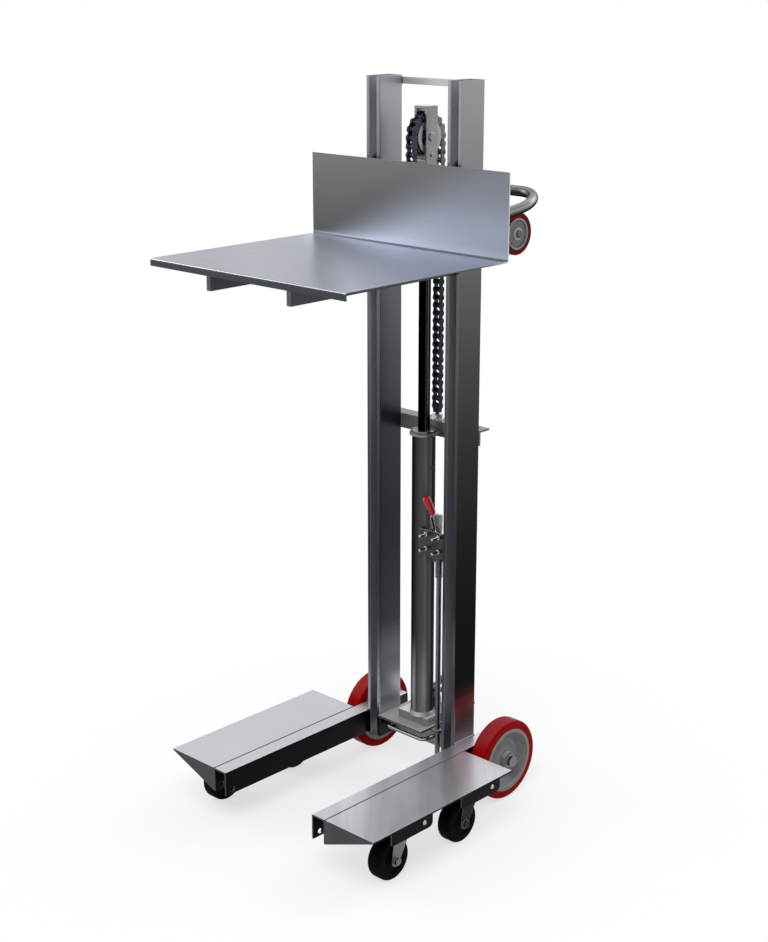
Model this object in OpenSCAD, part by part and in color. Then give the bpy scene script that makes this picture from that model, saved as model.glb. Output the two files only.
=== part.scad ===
// Foot pump lift truck: a raised steel platform on a twin column mast.
// A hydraulic ram lifts a chain wheel, and the chain lifts the platform twice as far.
// Units are millimetres. X runs across, -Y is the platform side, Z is up, the floor is z = 0.
// Lengths along the truck are counted from the middle of its overall depth.

/* [Platform] */
// width of the deck and backrest across the truck
deck_w = 609.6; // [560:1:660]
// front edge of the deck
deck_front_y = -396.8; // [-430:0.1:-380]
// front face of the backrest
back_y = 110.8; // [106:0.1:112]
// height of the deck surface as shown, fully raised
deck_top_z = 1375.6; // [1340:0.1:1400]
// height of the backrest above the deck
backrest_h = 194; // [150:1:230]
// depth of the front lip
lip_h = 17; // [12:1:30]
// sheet thickness of the deck
deck_t = 3; // [2.5:0.1:3]
// outer radius of the two sheet bends
bend_r = 5; // [4:0.5:7]

/* [Platform arms] */
// thickness of each arm plate
arm_t = 12.7; // [9:0.1:14]
// depth of the arm below the deck
arm_h = 50; // [40:1:60]
// setback of the arm behind the front lip
arm_setback = 14; // [8:1:60]
// height of the upright arm plate above the deck
arm_up = 180; // [165:1:190]

/* [Mast columns] */
// distance between the inner faces of the columns
col_gap = 208; // [206:1:212]
// width of a column across the truck
col_w = 43.3; // [41:0.1:46]
// depth of a column along the truck
col_d = 78; // [74:1:80]
// wall thickness of a column
col_wall = 4.5; // [4:0.1:5]
// width of the open front slot
slot_w = 24; // [20:0.5:26]
// outer bend radius of a column
col_r = 3; // [2:0.5:5]
// middle of the columns along the truck
mast_y = 172; // [171:0.5:173]
// height of the top of the columns
mast_top_z = 1754.7; // [1720:0.1:1800]
// height of the flat bar across the top
top_bar_h = 16; // [12:1:20]
// thickness of the flat bar across the top
top_bar_t = 6; // [4:0.5:8]

/* [Mast rollers] */
// running gap of a roller to the column walls
roller_gap = 0.4; // [0.3:0.05:0.8]
// width of one roller
roller_w = 8.6; // [7:0.1:9]
// radius of a roller pin
roller_pin_r = 8; // [6:0.5:10]
// height of the lower roller pin above the deck bottom edge of the arm
roller_low = 34; // [30:1:50]
// distance between the lower and the upper roller pins
roller_span = 188; // [140:1:195]

/* [Legs] */
// height of the underside of the leg channels
leg_z0 = 90.3; // [86:0.1:95]
// height of the leg top
leg_top_z = 151.7; // [148:0.1:158]
// width of the leg channel
leg_w = 41.9; // [38:0.1:44]
// wall of the leg channel
leg_wall = 4; // [3:0.1:5]
// outer radius of the top corners of the leg channel
leg_bend = 3; // [2:0.5:3.5]
// front end of the legs
leg_front_y = -357.6; // [-380:0.1:-340]
// rear end of the leg channels
leg_rear_y = 284; // [272:1:295]
// outer edge of the wing plate
wing_x = 340.7; // [325:0.1:350]
// rear edge of the wing plate
wing_rear_y = 123; // [100:1:130]
// wing plate thickness
wing_t = 4; // [3:0.1:5]
// distance of the cross hole behind the leg toe
toe_hole_back = 21.5; // [16:0.5:30]
// radius of the cross hole in the leg toe
toe_hole_r = 6.5; // [4:0.5:8]

/* [Casters] */
// caster wheel radius
caster_r = 51; // [48:0.5:52]
// caster wheel width
caster_w = 40; // [32:1:42]
// forward offset of the caster wheel from its swivel
caster_trail = 20; // [15:1:25]
// swivel position across the truck
caster_x = 283; // [281:0.5:285]
// swivel position of the front casters
caster_front_y = -229.5; // [-240:0.5:-225]
// swivel position of the rear casters
caster_rear_y = 9.4; // [0:0.1:15]
// length of the mounting channel
mount_len = 137; // [125:1:145]
// depth of the mounting channel flanges
mount_h = 30; // [26:1:32]
// sheet of the mounting channel
mount_t = 4; // [3:0.1:4]
// thickness of a caster fork leg
fork_t = 3.2; // [3:0.1:4]

/* [Rear wheels] */
// rear wheel radius
wheel_r = 101.6; // [98:0.1:104]
// rear wheel width
wheel_w = 46; // [40:1:48]
// middle of the rear wheel across the truck
wheel_x = 215; // [213.5:0.5:218]
// rear axle position along the truck
axle_y = 238.6; // [237:0.1:241]
// rear axle radius
axle_r = 9.5; // [8:0.1:10]
// thickness of the tread round the hub
tread_t = 20.9; // [18:0.1:24]

/* [Push handle] */
// outside radius of the handle tube
handle_r = 12.7; // [11:0.1:14]
// wall of the handle tube
handle_wall = 2; // [1.5:0.1:3]
// height of the rear bar
handle_z = 1488.5; // [1480:0.1:1500]
// position of the rear bar along the truck
handle_y = 378; // [370:1:384]
// upward slope of the handle loop
handle_slope = 15.8; // [13:0.1:18]
// bend radius of the handle
handle_bend = 73; // [68:1:78]
// angle that each bend turns through
handle_turn = 114.5; // [110:0.5:118]
// length of the straight rear bar between the bends
handle_flat = 245; // [230:1:260]

/* [Load wheels] */
// radius of the small wheels behind the mast
small_r = 50.8; // [48:0.1:52]
// width of the small wheels
small_w = 30; // [26:1:30]
// axle position of the small wheels along the truck
small_y = 346; // [340:1:350]
// axle height of the small wheels
small_z = 1393.3; // [1385:0.1:1400]

/* [Cylinder and ram] */
// middle of the ram along the truck
ram_y = 178.5; // [178:0.1:179]
// outside radius of the cylinder
cyl_r = 28.7; // [28:0.1:29]
// cylinder wall
cyl_wall = 3.7; // [3:0.1:5]
// height of the top of the cylinder
cyl_top_z = 912; // [905:1:920]
// radius of the piston rod
rod_r = 14.5; // [12:0.1:15]
// running clearance of pins and rods
fit = 0.05; // [0.05:0.01:0.1]
// height of the chain wheel axle
sheave_z = 1621.3; // [1610:0.1:1630]
// width of the square head on top of the rod
head_w = 36; // [32:1:38]
// height of the square head
head_h = 20; // [16:1:22]

/* [Chain] */
// chain pitch
pitch = 19.05; // [19:0.01:19.1]
// chain roller radius
chain_roller_r = 5.95; // [5.5:0.05:6]
// height of a chain plate
plate_h = 17.6; // [16:0.1:18]
// pitches of chain that a full turn of the wheel would carry
wheel_pitches = 16; // [16:2:16]
// pitches in the rear strand at rest
rear_pitches = 34; // [34:1:34]
// pitches in the front strand at rest
front_pitches = 4; // [4:1:4]

/* [Base and pump] */
// underside of the base plate
base_z = 148.6; // [146:0.1:151]
// thickness of the base plate
base_t = 5.7; // [5:0.1:8]
// right edge of the base plate
base_right_x = 44; // [42:1:45]
// height of the pump block
pump_h = 22; // [20:1:24]
// radius of the round guard bar
guard_r = 5; // [4:0.5:6]

/* [Floor lock] */
// position of the lock rod across the truck
lock_x = 58; // [57:0.5:59]
// position of the lock rod along the truck
lock_y = 173; // [172:0.5:173]
// radius of the lock rod
lock_r = 6.5; // [6:0.1:6.5]
// height of the lever pivot
lock_z = 690; // [688:1:692]
// crank radius of the lock lever
crank_r = 14; // [13.5:0.1:14]

/* [Hidden] */
$fn = 48;
col_in = col_gap / 2;
col_out = col_in + col_w;
col_c = col_in + col_w / 2;
col_y0 = mast_y - col_d / 2;
col_y1 = mast_y + col_d / 2;
leg_out = col_out + leg_w;
arm_bot_z = deck_top_z - deck_t - arm_h;
arm_top_z = deck_top_z + arm_up;
roller_r = (col_d - 2 * col_wall) / 2 - roller_gap;
low_pin_z = arm_bot_z + roller_low;
high_pin_z = low_pin_z + roller_span;
arm_lean = 6;
wing_z0 = leg_top_z - wing_t;
mount_z0 = wing_z0 - mount_h;
caster_half = (wing_x - caster_x);
plate_top = wing_z0 - mount_t;
crown_z = plate_top - 18;
bolt_back = 28.5;
angle_z1 = 940;
angle_s = 37;
angle_t = 5;
hub_r = wheel_r - tread_t;
wheel_pr = pitch / 2 / sin(180 / wheel_pitches);
sheave_rim = wheel_pr - chain_roller_r - 0.35;
strand_r_y = ram_y + wheel_pr;
strand_f_y = ram_y - wheel_pr;
rear_low_z = sheave_z - rear_pitches * pitch;
front_low_z = sheave_z - front_pitches * pitch;
in_x = 6.3;
link_t = 2.4;
out_x = 8.8;
pin_r = 2.95;
yoke_w = 38;
yoke_t = 6;
yoke_in = 13;
yoke_z0 = 1571.2;
yoke_z1 = 1692;
base_top = base_z + base_t;
pump_top = base_top + pump_h;
cross_y0 = col_y1 - 18;
pump_x0 = -60;
pump_x1 = 37;
pump_y0 = 156;
pump_y1 = 257;
pump_axis_x = -11.5;
pump_axis_y = 242;
pedal_y = 220;
pedal_z = 205;
crank_a = 30;
crank_y = lock_y - crank_r * cos(crank_a / 2);
lock_plate_y = 149;
grip_y = 151.5;
grip_z = lock_z + 34;
grip_lean = 30;
lock_bolt_x = [lock_x - 15.5, lock_x + 24.5];
lock_bolt_z = [lock_z - 51.5, lock_z - 15];

// Shared shapes

// solid block from one corner to the opposite corner
module block(a, b) {
  translate(a) cube([b[0] - a[0], b[1] - a[1], b[2] - a[2]]);
}

// cylinder along X from x0 to x1
module xcyl(x0, x1, y, z, r) {
  translate([x0, y, z]) rotate([0, 90, 0]) cylinder(r = r, h = x1 - x0);
}

// cylinder along Z from z0 to z1
module zcyl(x, y, z0, z1, r) {
  translate([x, y, z0]) cylinder(r = r, h = z1 - z0);
}

// flat plate in the YZ plane, extruded from x0 to x1
module yz_plate(x0, x1) {
  translate([x0, 0, 0]) rotate([90, 0, 90]) linear_extrude(x1 - x0) children();
}

// rectangle with rounded corners, from corner a to corner b
module round_rect(a, b, r) {
  translate([a[0] + r, a[1]]) square([b[0] - a[0] - 2 * r, b[1] - a[1]]);
  translate([a[0], a[1] + r]) square([b[0] - a[0], b[1] - a[1] - 2 * r]);
  for (x = [a[0] + r, b[0] - r], y = [a[1] + r, b[1] - r]) translate([x, y]) circle(r = r);
}

// straight strip with round ends between two points
module strip(a, b, w) {
  len = norm([b[0] - a[0], b[1] - a[1]]);
  ang = atan2(b[1] - a[1], b[0] - a[0]);
  translate(a) rotate(ang) translate([0, -w / 2]) square([len, w]);
  translate(a) circle(r = w / 2);
  translate(b) circle(r = w / 2);
}

// hexagon prism along X
module xhex(x0, x1, y, z, flats) {
  translate([x0, y, z]) rotate([0, 90, 0]) cylinder(r = flats / sqrt(3), h = x1 - x0, $fn = 6);
}

// hexagon prism along Y
module yhex(x, y0, y1, z, flats) {
  translate([x, y0, z]) rotate([-90, 0, 0]) cylinder(r = flats / sqrt(3), h = y1 - y0, $fn = 6);
}

// Mast

// C section column, open to the front through a slot between two lips
module column() {
  translate([0, 0, leg_z0]) linear_extrude(mast_top_z - leg_z0) difference() {
    translate([0, mast_y]) round_rect([-col_w / 2, -col_d / 2], [col_w / 2, col_d / 2], col_r);
    translate([-col_w / 2 + col_wall, col_y0 + col_wall])
      square([col_w - 2 * col_wall, col_d - 2 * col_wall]);
    translate([-slot_w / 2, col_y0 - 1]) square([slot_w, col_wall + 2]);
  }
}

module mast_column_left() {
  color("silver") translate([-col_c, 0, 0]) column();
}

module mast_column_right() {
  color("silver") translate([col_c, 0, 0]) column();
}

// flat bar across the backs of the columns at the top
module top_crossbar() {
  color("silver") block([-col_c, col_y1, mast_top_z - col_wall - top_bar_h],
    [col_c, col_y1 + top_bar_t, mast_top_z - col_wall]);
}

// angle bar across the backs of the columns, drilled for the chain anchor
module mid_crossbar() {
  color("silver") difference() {
    union() {
      block([-col_out, col_y1, angle_z1 - angle_s], [col_out, col_y1 + angle_t, angle_z1]);
      block([-col_out, col_y1, angle_z1 - angle_t], [col_out, col_y1 + angle_s, angle_z1]);
    }
    zcyl(0, strand_r_y, angle_z1 - angle_t - 1, angle_z1 + 1, 5.1);
  }
}

// hollow bar between the columns at the bottom
module base_crossmember() {
  color("silver") difference() {
    block([-col_in, cross_y0, leg_z0], [col_in, col_y1, base_z]);
    block([-col_in - 1, cross_y0 + 4, leg_z0 + 4], [col_in + 1, col_y1 - 4, base_z - 4]);
  }
}

// plate that carries the pump, with a guide eye for the floor lock rod
module base_plate() {
  color("silver") difference() {
    union() {
      block([-col_in, col_y0 - 8, base_z], [base_right_x, pump_y1 + 2, base_top]);
      block([base_right_x - 8, lock_y - 7, base_z - 6], [lock_x - 8, lock_y + 7, base_z]);
      zcyl(lock_x, lock_y, base_z - 6, base_z + 2, 11);
    }
    zcyl(lock_x, lock_y, base_z - 7, base_z + 3, lock_r + 0.25);
  }
}

// round bar bent round the front of the pump, below the base plate
module guard_bar() {
  xl = -93;
  xr = 38;
  yf = 144;
  zc = 122.3;
  rb = 16;
  color("gainsboro") {
    xcyl(xl + rb, xr - rb, yf, zc, guard_r);
    for (x = [xl, xr]) translate([x, yf + rb, zc]) rotate([-90, 0, 0])
      cylinder(r = guard_r, h = cross_y0 - yf - rb);
    translate([xl + rb, yf + rb, zc]) rotate([0, 0, 180]) rotate_extrude(angle = 90)
      translate([rb, 0]) circle(r = guard_r);
    translate([xr - rb, yf + rb, zc]) rotate([0, 0, 270]) rotate_extrude(angle = 90)
      translate([rb, 0]) circle(r = guard_r);
  }
}

// Legs

// cross section of a leg: channel open at the bottom, with rounded top corners
module leg_section() {
  difference() {
    union() {
      translate([col_out, leg_z0]) square([leg_w, leg_top_z - leg_z0 - leg_bend]);
      translate([col_out + leg_bend, leg_z0]) square([leg_w - 2 * leg_bend, leg_top_z - leg_z0]);
      for (x = [col_out + leg_bend, leg_out - leg_bend]) translate([x, leg_top_z - leg_bend])
        circle(r = leg_bend);
    }
    translate([col_out + leg_wall, leg_z0 - 1])
      square([leg_w - 2 * leg_wall, leg_top_z - leg_wall - leg_z0 + 1]);
  }
}

// leg channel with a toe hole and an axle block at its rear end
module leg_right() {
  difference() {
    union() {
      translate([0, leg_rear_y, 0]) rotate([90, 0, 0]) linear_extrude(leg_rear_y - leg_front_y)
        leg_section();
      block([col_out + leg_wall, axle_y - 31, leg_z0 - 8],
        [leg_out - leg_wall, axle_y + 31, leg_top_z - leg_wall]);
    }
    xcyl(col_out - 1, leg_out + 1, leg_front_y + toe_hole_back, leg_z0 + 12, toe_hole_r);
    xcyl(col_out - 1, leg_out + 1, axle_y, wheel_r, axle_r + fit);
  }
}

module leg_channel_left() {
  color("silver") mirror([1, 0, 0]) leg_right();
}

module leg_channel_right() {
  color("silver") leg_right();
}

// mounting channel for one caster, welded under the wing
module caster_mount(yc) {
  y0 = yc - mount_len / 2;
  y1 = yc + mount_len / 2;
  difference() {
    yz_plate(caster_x - caster_half, wing_x) union() {
      translate([y0, mount_z0 + 12]) square([mount_len, mount_h - 12]);
      translate([y0 + 4, mount_z0]) square([mount_len - 16, mount_h]);
      translate([y0 + 4, mount_z0 + 4]) circle(r = 4);
      translate([y0, mount_z0 + 4]) square([8, 12]);
      translate([y1 - 12, mount_z0 + 12]) circle(r = 12);
    }
    block([caster_x - caster_half + mount_t, y0 - 1, mount_z0 - 1],
      [wing_x - mount_t, y1 + 1, wing_z0 - mount_t]);
    xcyl(caster_x, wing_x + 1, y1 - bolt_back, wing_z0 - 12, 4.1);
    zcyl(caster_x, yc, wing_z0 - mount_t - 1, wing_z0 + 1, 8.2);
  }
}

// flat outer plate of a leg with its toe gusset and two caster channels
module wing_right() {
  difference() {
    block([leg_out, leg_front_y, wing_z0], [wing_x, wing_rear_y, leg_top_z]);
    for (y = [caster_front_y, caster_rear_y]) zcyl(caster_x, y, wing_z0 - 1, wing_z0 + 2, 8.2);
  }
  translate([0, leg_front_y + wing_t, 0]) rotate([90, 0, 0]) linear_extrude(wing_t)
    polygon([[leg_out, leg_z0], [leg_out, wing_z0], [wing_x - 2, wing_z0]]);
  caster_mount(caster_front_y);
  caster_mount(caster_rear_y);
}

module wing_plate_left() {
  color("silver") mirror([1, 0, 0]) wing_right();
}

module wing_plate_right() {
  color("silver") wing_right();
}

// Casters

// top plate, ball race and king bolt of one caster
module top_plate(s, y) {
  zcyl(s * caster_x, y, crown_z + 0.3, plate_top - 5, 27);
  block([s * caster_x - 46, y - 57, plate_top - 5], [s * caster_x + 46, y + 57, plate_top]);
  zcyl(s * caster_x, y, crown_z - 14, wing_z0 + 2, 8);
}

module caster_top_plates() {
  color("lightgrey") for (s = [-1, 1], y = [caster_front_y, caster_rear_y]) top_plate(s, y);
}

// fork: round crown with two tapered legs that lean forward to the axle
module fork(s, y) {
  xi = caster_w / 2 + 3;
  translate([s * caster_x, y, 0]) {
    difference() {
      union() {
        zcyl(0, 0, crown_z - 8, crown_z, 30);
        for (x = [-xi - fork_t, xi]) yz_plate(x, x + fork_t) {
          polygon([[-26, crown_z], [26, crown_z], [26, crown_z - 18],
            [-caster_trail + 14, caster_r], [-caster_trail - 14, caster_r], [-26, crown_z - 18]]);
          translate([-caster_trail, caster_r]) circle(r = 14);
        }
      }
      zcyl(0, 0, crown_z - 15, crown_z + 1, 8 + 0.3);
    }
    xcyl(-xi - 1, xi + 1, -caster_trail, caster_r, 6);
    xcyl(xi + fork_t, xi + fork_t + 2, -caster_trail, caster_r, 11);
    xhex(xi + fork_t + 2, xi + fork_t + 8, -caster_trail, caster_r, 16);
    xhex(-xi - fork_t - 7, -xi - fork_t, -caster_trail, caster_r, 16);
  }
}

// rubber tyred caster wheel with a plain bore
module caster_wheel(s, y) {
  translate([s * caster_x, y - caster_trail, caster_r]) rotate([0, 90, 0]) rotate_extrude() {
    difference() {
      union() {
        translate([6 + fit, -caster_w / 2 + 9]) square([caster_r - 6 - fit, caster_w - 18]);
        translate([6 + fit, -caster_w / 2]) square([caster_r - 15 - fit, caster_w]);
        for (v = [-1, 1]) translate([caster_r - 9, v * (caster_w / 2 - 9)]) circle(r = 9);
        translate([6 + fit, -caster_w / 2 - 2]) square([8, caster_w + 4]);
      }
      for (v = [-1, 1]) translate([22, v * caster_w / 2 - 3]) square([10, 6]);
    }
  }
}

module caster_fork_front_left() {
  color("lightgrey") fork(-1, caster_front_y);
}

module caster_fork_front_right() {
  color("lightgrey") fork(1, caster_front_y);
}

module caster_fork_rear_left() {
  color("lightgrey") fork(-1, caster_rear_y);
}

module caster_fork_rear_right() {
  color("lightgrey") fork(1, caster_rear_y);
}

module caster_wheel_front_left() {
  color("dimgray") caster_wheel(-1, caster_front_y);
}

module caster_wheel_front_right() {
  color("dimgray") caster_wheel(1, caster_front_y);
}

module caster_wheel_rear_left() {
  color("dimgray") caster_wheel(-1, caster_rear_y);
}

module caster_wheel_rear_right() {
  color("dimgray") caster_wheel(1, caster_rear_y);
}

// Rear wheels

// through axle for both rear wheels
module rear_axle() {
  color("lightgrey") xcyl(-wheel_x - 34, wheel_x + 34, axle_y, wheel_r, axle_r);
}

// washers and nuts on both axle ends
module axle_nuts() {
  color("lightgrey") for (s = [-1, 1]) mirror([s < 0 ? 1 : 0, 0, 0]) difference() {
    union() {
      xcyl(wheel_x + 25.2, wheel_x + 27.2, axle_y, wheel_r, 16);
      xhex(wheel_x + 27.2, wheel_x + 37, axle_y, wheel_r, 26);
    }
    xcyl(wheel_x + 24, wheel_x + 34.02, axle_y, wheel_r, axle_r);
  }
}

// moulded tread with rounded shoulders
module tyre() {
  s = 8;
  rotate([0, 90, 0]) rotate_extrude($fn = 96) {
    translate([hub_r, -wheel_w / 2]) square([tread_t - s, wheel_w]);
    translate([hub_r, -wheel_w / 2 + s]) square([tread_t, wheel_w - 2 * s]);
    for (v = [-1, 1]) translate([wheel_r - s, v * (wheel_w / 2 - s)]) circle(r = s);
  }
}

// hub with a dished face on each side and a long centre boss
module hub() {
  ri = axle_r + fit;
  rb = axle_r + 13;
  h = wheel_w / 2;
  r1 = rb + (hub_r - rb) * 0.34;
  r2 = rb + (hub_r - rb) * 0.56;
  r3 = rb + (hub_r - rb) * 0.85;
  rotate([0, 90, 0]) rotate_extrude($fn = 96) polygon([
    [ri, -h - 2], [rb, -h - 2], [rb, 8 - h], [r1, -4], [r2, -4], [r3, 6 - h],
    [r3, -h], [hub_r, -h], [hub_r, h], [r3, h],
    [r3, h - 6], [r2, 4], [r1, 4], [rb, h - 8], [rb, h + 2], [ri, h + 2]
  ]);
}

module rear_tyre_left() {
  color("firebrick") translate([-wheel_x, axle_y, wheel_r]) tyre();
}

module rear_tyre_right() {
  color("firebrick") translate([wheel_x, axle_y, wheel_r]) tyre();
}

module rear_hub_left() {
  color("gray") translate([-wheel_x, axle_y, wheel_r]) hub();
}

module rear_hub_right() {
  color("gray") translate([wheel_x, axle_y, wheel_r]) hub();
}

// Push handle

// open loop of round bar drawn flat: rear bar at y = 0, bends and arms towards -Y.
// The bends butt against the ends of the rear bar.
module flat_loop(r) {
  half = handle_flat / 2;
  len = col_w * 3.2;
  seam = 0.01;
  xcyl(seam - half, half - seam, 0, 0, r);
  for (s = [0, 1]) mirror([s, 0, 0]) translate([half, -handle_bend, 0])
    rotate([0, 0, 90 - handle_turn]) {
      rotate_extrude(angle = handle_turn) translate([handle_bend, 0]) circle(r = r);
      translate([handle_bend, 0, 0]) rotate([90, 0, 0]) cylinder(r = r, h = len);
    }
}

// tube handle: its arms lean inwards and are cut to fit the outer rear corners of the columns
module push_handle() {
  color("gainsboro") difference() {
    translate([0, handle_y, handle_z]) rotate([handle_slope, 0, 0]) difference() {
      flat_loop(handle_r);
      flat_loop(handle_r - handle_wall);
    }
    for (s = [-1, 1]) translate([s * col_c - col_w / 2, col_y0, handle_z - 150])
      cube([col_w, col_d, 200]);
  }
}

// Load wheels behind the mast

// plate with a stub axle for one small wheel
module load_bracket_right() {
  x0 = col_in;
  yz_plate(x0, x0 + 6) {
    strip([col_y1 + 16, small_z], [small_y, small_z], 32);
    translate([col_y1, small_z - 35]) square([16, 70]);
    polygon([[col_y1 + 10, small_z - 35], [col_y1 + 16, small_z - 35], [small_y - 30, small_z - 16],
      [small_y - 30, small_z + 16], [col_y1 + 16, small_z + 35], [col_y1 + 10, small_z + 35]]);
  }
  xcyl(x0 + 5, x0 + 8.5, small_y, small_z, 11);
  xcyl(x0 + 5, x0 + 40.5, small_y, small_z, 6);
  xcyl(x0 + 40, x0 + 42, small_y, small_z, 10);
  xhex(x0 + 42, x0 + 47.5, small_y, small_z, 14);
}

module load_wheel_bracket_left() {
  color("silver") mirror([1, 0, 0]) load_bracket_right();
}

module load_wheel_bracket_right() {
  color("silver") load_bracket_right();
}

// small wheel: rounded tread, raised rim, recessed face and centre boss
module load_wheel() {
  h = small_w / 2;
  rt = small_r - 13.5;
  rotate([0, 90, 0]) rotate_extrude($fn = 72) {
    translate([rt, -h + 4]) square([small_r - rt, small_w - 8]);
    translate([rt, -h]) square([small_r - rt - 4, small_w]);
    for (v = [-1, 1]) translate([small_r - 4, v * (h - 4)]) circle(r = 4);
    translate([rt - 4.5, -h + 1]) square([5, small_w - 2]);
    translate([6 + fit, -h + 5]) square([rt - 8, small_w - 10]);
    translate([6 + fit, -h]) square([9, small_w]);
  }
}

module load_wheel_left() {
  color("firebrick") translate([-(col_in + 9.5 + small_w / 2), small_y, small_z]) load_wheel();
}

module load_wheel_right() {
  color("firebrick") translate([col_in + 9.5 + small_w / 2, small_y, small_z]) load_wheel();
}

// Pump and cylinder

// pump body with its barrel, pedal lugs and two port recesses
module pump_block() {
  color("lightgrey") difference() {
    union() {
      block([pump_x0, pump_y0, base_top], [pump_x1, pump_y1, pump_top]);
      zcyl(pump_axis_x, pump_axis_y, pump_top - 2, pump_top + 20, 15);
      for (x = [pump_axis_x - 26, pump_axis_x + 20]) yz_plate(x, x + 6) {
        translate([pedal_y - 9, pump_top - 3]) square([18, pedal_z - pump_top + 3]);
        translate([pedal_y, pedal_z]) circle(r = 9);
      }
    }
    zcyl(pump_axis_x, pump_axis_y, base_top + 4, pump_top + 25, 8 + fit);
    for (x = [pump_axis_x - 27, pump_axis_x + 19]) xcyl(x, x + 8, pedal_y, pedal_z, 4 + fit);
    for (y = [167, 179]) xcyl(pump_x1 - 6, pump_x1 + 1, y, base_top + 11, 3.2);
    xcyl(pump_x1 - 12, pump_x1 + 1, pump_axis_y, base_top + 11, 4 + fit);
  }
}

// cylinder tube with its foot ring and a bleed port
module cylinder_tube() {
  color("darkgray") {
    difference() {
      union() {
        zcyl(0, ram_y, pump_top, pump_top + 12, cyl_r + 2.3);
        zcyl(0, ram_y, pump_top, cyl_top_z, cyl_r);
      }
      zcyl(0, ram_y, pump_top + 12, cyl_top_z + 1, cyl_r - cyl_wall);
    }
    translate([-cyl_r - 7, ram_y, pump_top + 36]) rotate([0, 90, 0]) cylinder(r = 4, h = 9);
    translate([cyl_r - 2, ram_y, cyl_top_z - 80]) rotate([0, 90, 0]) cylinder(r = 4, h = 5);
  }
}

// tongue that ties the cylinder top to the middle crossbar
module guide_plate() {
  color("silver") difference() {
    union() {
      zcyl(0, ram_y, cyl_top_z, cyl_top_z + 6, 35);
      block([-35, ram_y, cyl_top_z], [35, col_y1, cyl_top_z + 6]);
    }
    zcyl(0, ram_y, cyl_top_z - 1, cyl_top_z + 7, 22.1);
    block([-36, col_y1, cyl_top_z - 1], [36, col_y1 + 10, cyl_top_z + 7]);
  }
}

// gland with its spigot through the tongue
module gland_nut() {
  color("lightgrey") difference() {
    union() {
      zcyl(0, ram_y, cyl_top_z + 6, cyl_top_z + 12, 29);
      zcyl(0, ram_y, cyl_top_z, cyl_top_z + 7, 22);
    }
    zcyl(0, ram_y, cyl_top_z - 1, cyl_top_z + 13, rod_r + fit);
  }
}

// ram: rod and piston
module piston_rod() {
  color("dimgray") {
    zcyl(0, ram_y, cyl_top_z - 52, yoke_z0 - head_h, rod_r);
    zcyl(0, ram_y, cyl_top_z - 62, cyl_top_z - 32, cyl_r - cyl_wall - fit);
  }
}

// strap frame on the square head of the ram, with the pin of the chain wheel
module yoke() {
  yo = ram_y - yoke_w / 2;
  xo = yoke_in + yoke_t;
  hw = head_w / 2;
  color("silver") {
    difference() {
      block([-xo, yo, yoke_z0], [xo, yo + yoke_w, yoke_z1]);
      block([-yoke_in, yo - 1, yoke_z0 + yoke_t], [yoke_in, yo + yoke_w + 1, yoke_z1 - yoke_t]);
    }
    block([-hw, ram_y - hw, yoke_z0 - head_h], [hw, ram_y + hw, yoke_z0]);
    xcyl(-xo - 1, xo + 1, ram_y, sheave_z, 8);
    for (x = [-xo - 3, xo]) xcyl(x, x + 3, ram_y, sheave_z, 10);
    for (x = [-xo - 2.5, xo]) xcyl(x, x + 2.5, ram_y, yoke_z0 + 9, 4.5);
  }
}

// chain wheel: rim between the chain plates, side flanges, dished web and boss
module chain_wheel() {
  rf = sheave_rim - 3;
  color("silver") translate([0, ram_y, sheave_z]) rotate([0, 90, 0]) rotate_extrude($fn = 96) {
    translate([rf - 6, -5.8]) square([9, 11.6]);
    translate([rf - 12, -12]) square([12, 24]);
    translate([8 + fit, -2.5]) square([rf - 18, 5]);
    translate([8 + fit, -12]) square([8, 24]);
  }
}

// Chain

// one link plate between two pins, waisted in the middle, drawn along +Y
module link_plate(r) {
  difference() {
    union() {
      circle(r = plate_h / 2);
      translate([pitch, 0]) circle(r = plate_h / 2);
      translate([0, -plate_h / 2 + 2.4]) square([pitch, plate_h - 4.8]);
    }
    for (u = [0, pitch]) translate([u, 0]) circle(r = r);
  }
}

// inner link: two plates and two rollers with open pin holes
module inner_link() {
  for (s = [-1, 1]) {
    x = s > 0 ? in_x : -in_x - link_t;
    yz_plate(x, x + link_t) link_plate(pin_r + 0.3);
  }
  for (u = [0, pitch]) difference() {
    xcyl(-in_x - 0.1, in_x + 0.1, u, 0, chain_roller_r);
    xcyl(-in_x - 1, in_x + 1, u, 0, pin_r + 0.3);
  }
}

// outer link: two plates and two pins
module outer_link() {
  for (s = [-1, 1]) {
    x = s > 0 ? out_x : -out_x - link_t;
    yz_plate(x, x + link_t) link_plate(1);
  }
  for (u = [0, pitch]) xcyl(-out_x - link_t - 0.8, out_x + link_t + 0.8, u, 0, pin_r);
}

// vertical run of chain hanging from a pin at (y, z), starting with an inner or outer link
module strand(y, z, n, first_outer) {
  for (i = [0 : n - 1]) translate([0, y, z - i * pitch]) rotate([-90, 0, 0]) {
    if ((i + (first_outer ? 1 : 0)) % 2 == 0) inner_link(); else outer_link();
  }
}

// half turn of chain over the wheel
module chain_over_wheel() {
  step = 360 / wheel_pitches;
  color("darkslategray") for (i = [0 : wheel_pitches / 2 - 1])
    translate([0, ram_y, sheave_z]) rotate([i * step, 0, 0]) translate([0, wheel_pr, 0])
    rotate([90 + step / 2, 0, 0]) {
      if (i % 2 == 0) outer_link(); else inner_link();
    }
}

// rear run of chain, from the wheel down to its anchor on the middle crossbar
module chain_rear_strand() {
  color("darkslategray") strand(strand_r_y, sheave_z, rear_pitches, false);
}

// front run of chain, from the wheel down to the platform
module chain_front_strand() {
  color("darkslategray") strand(strand_f_y, sheave_z, front_pitches, true);
}

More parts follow.
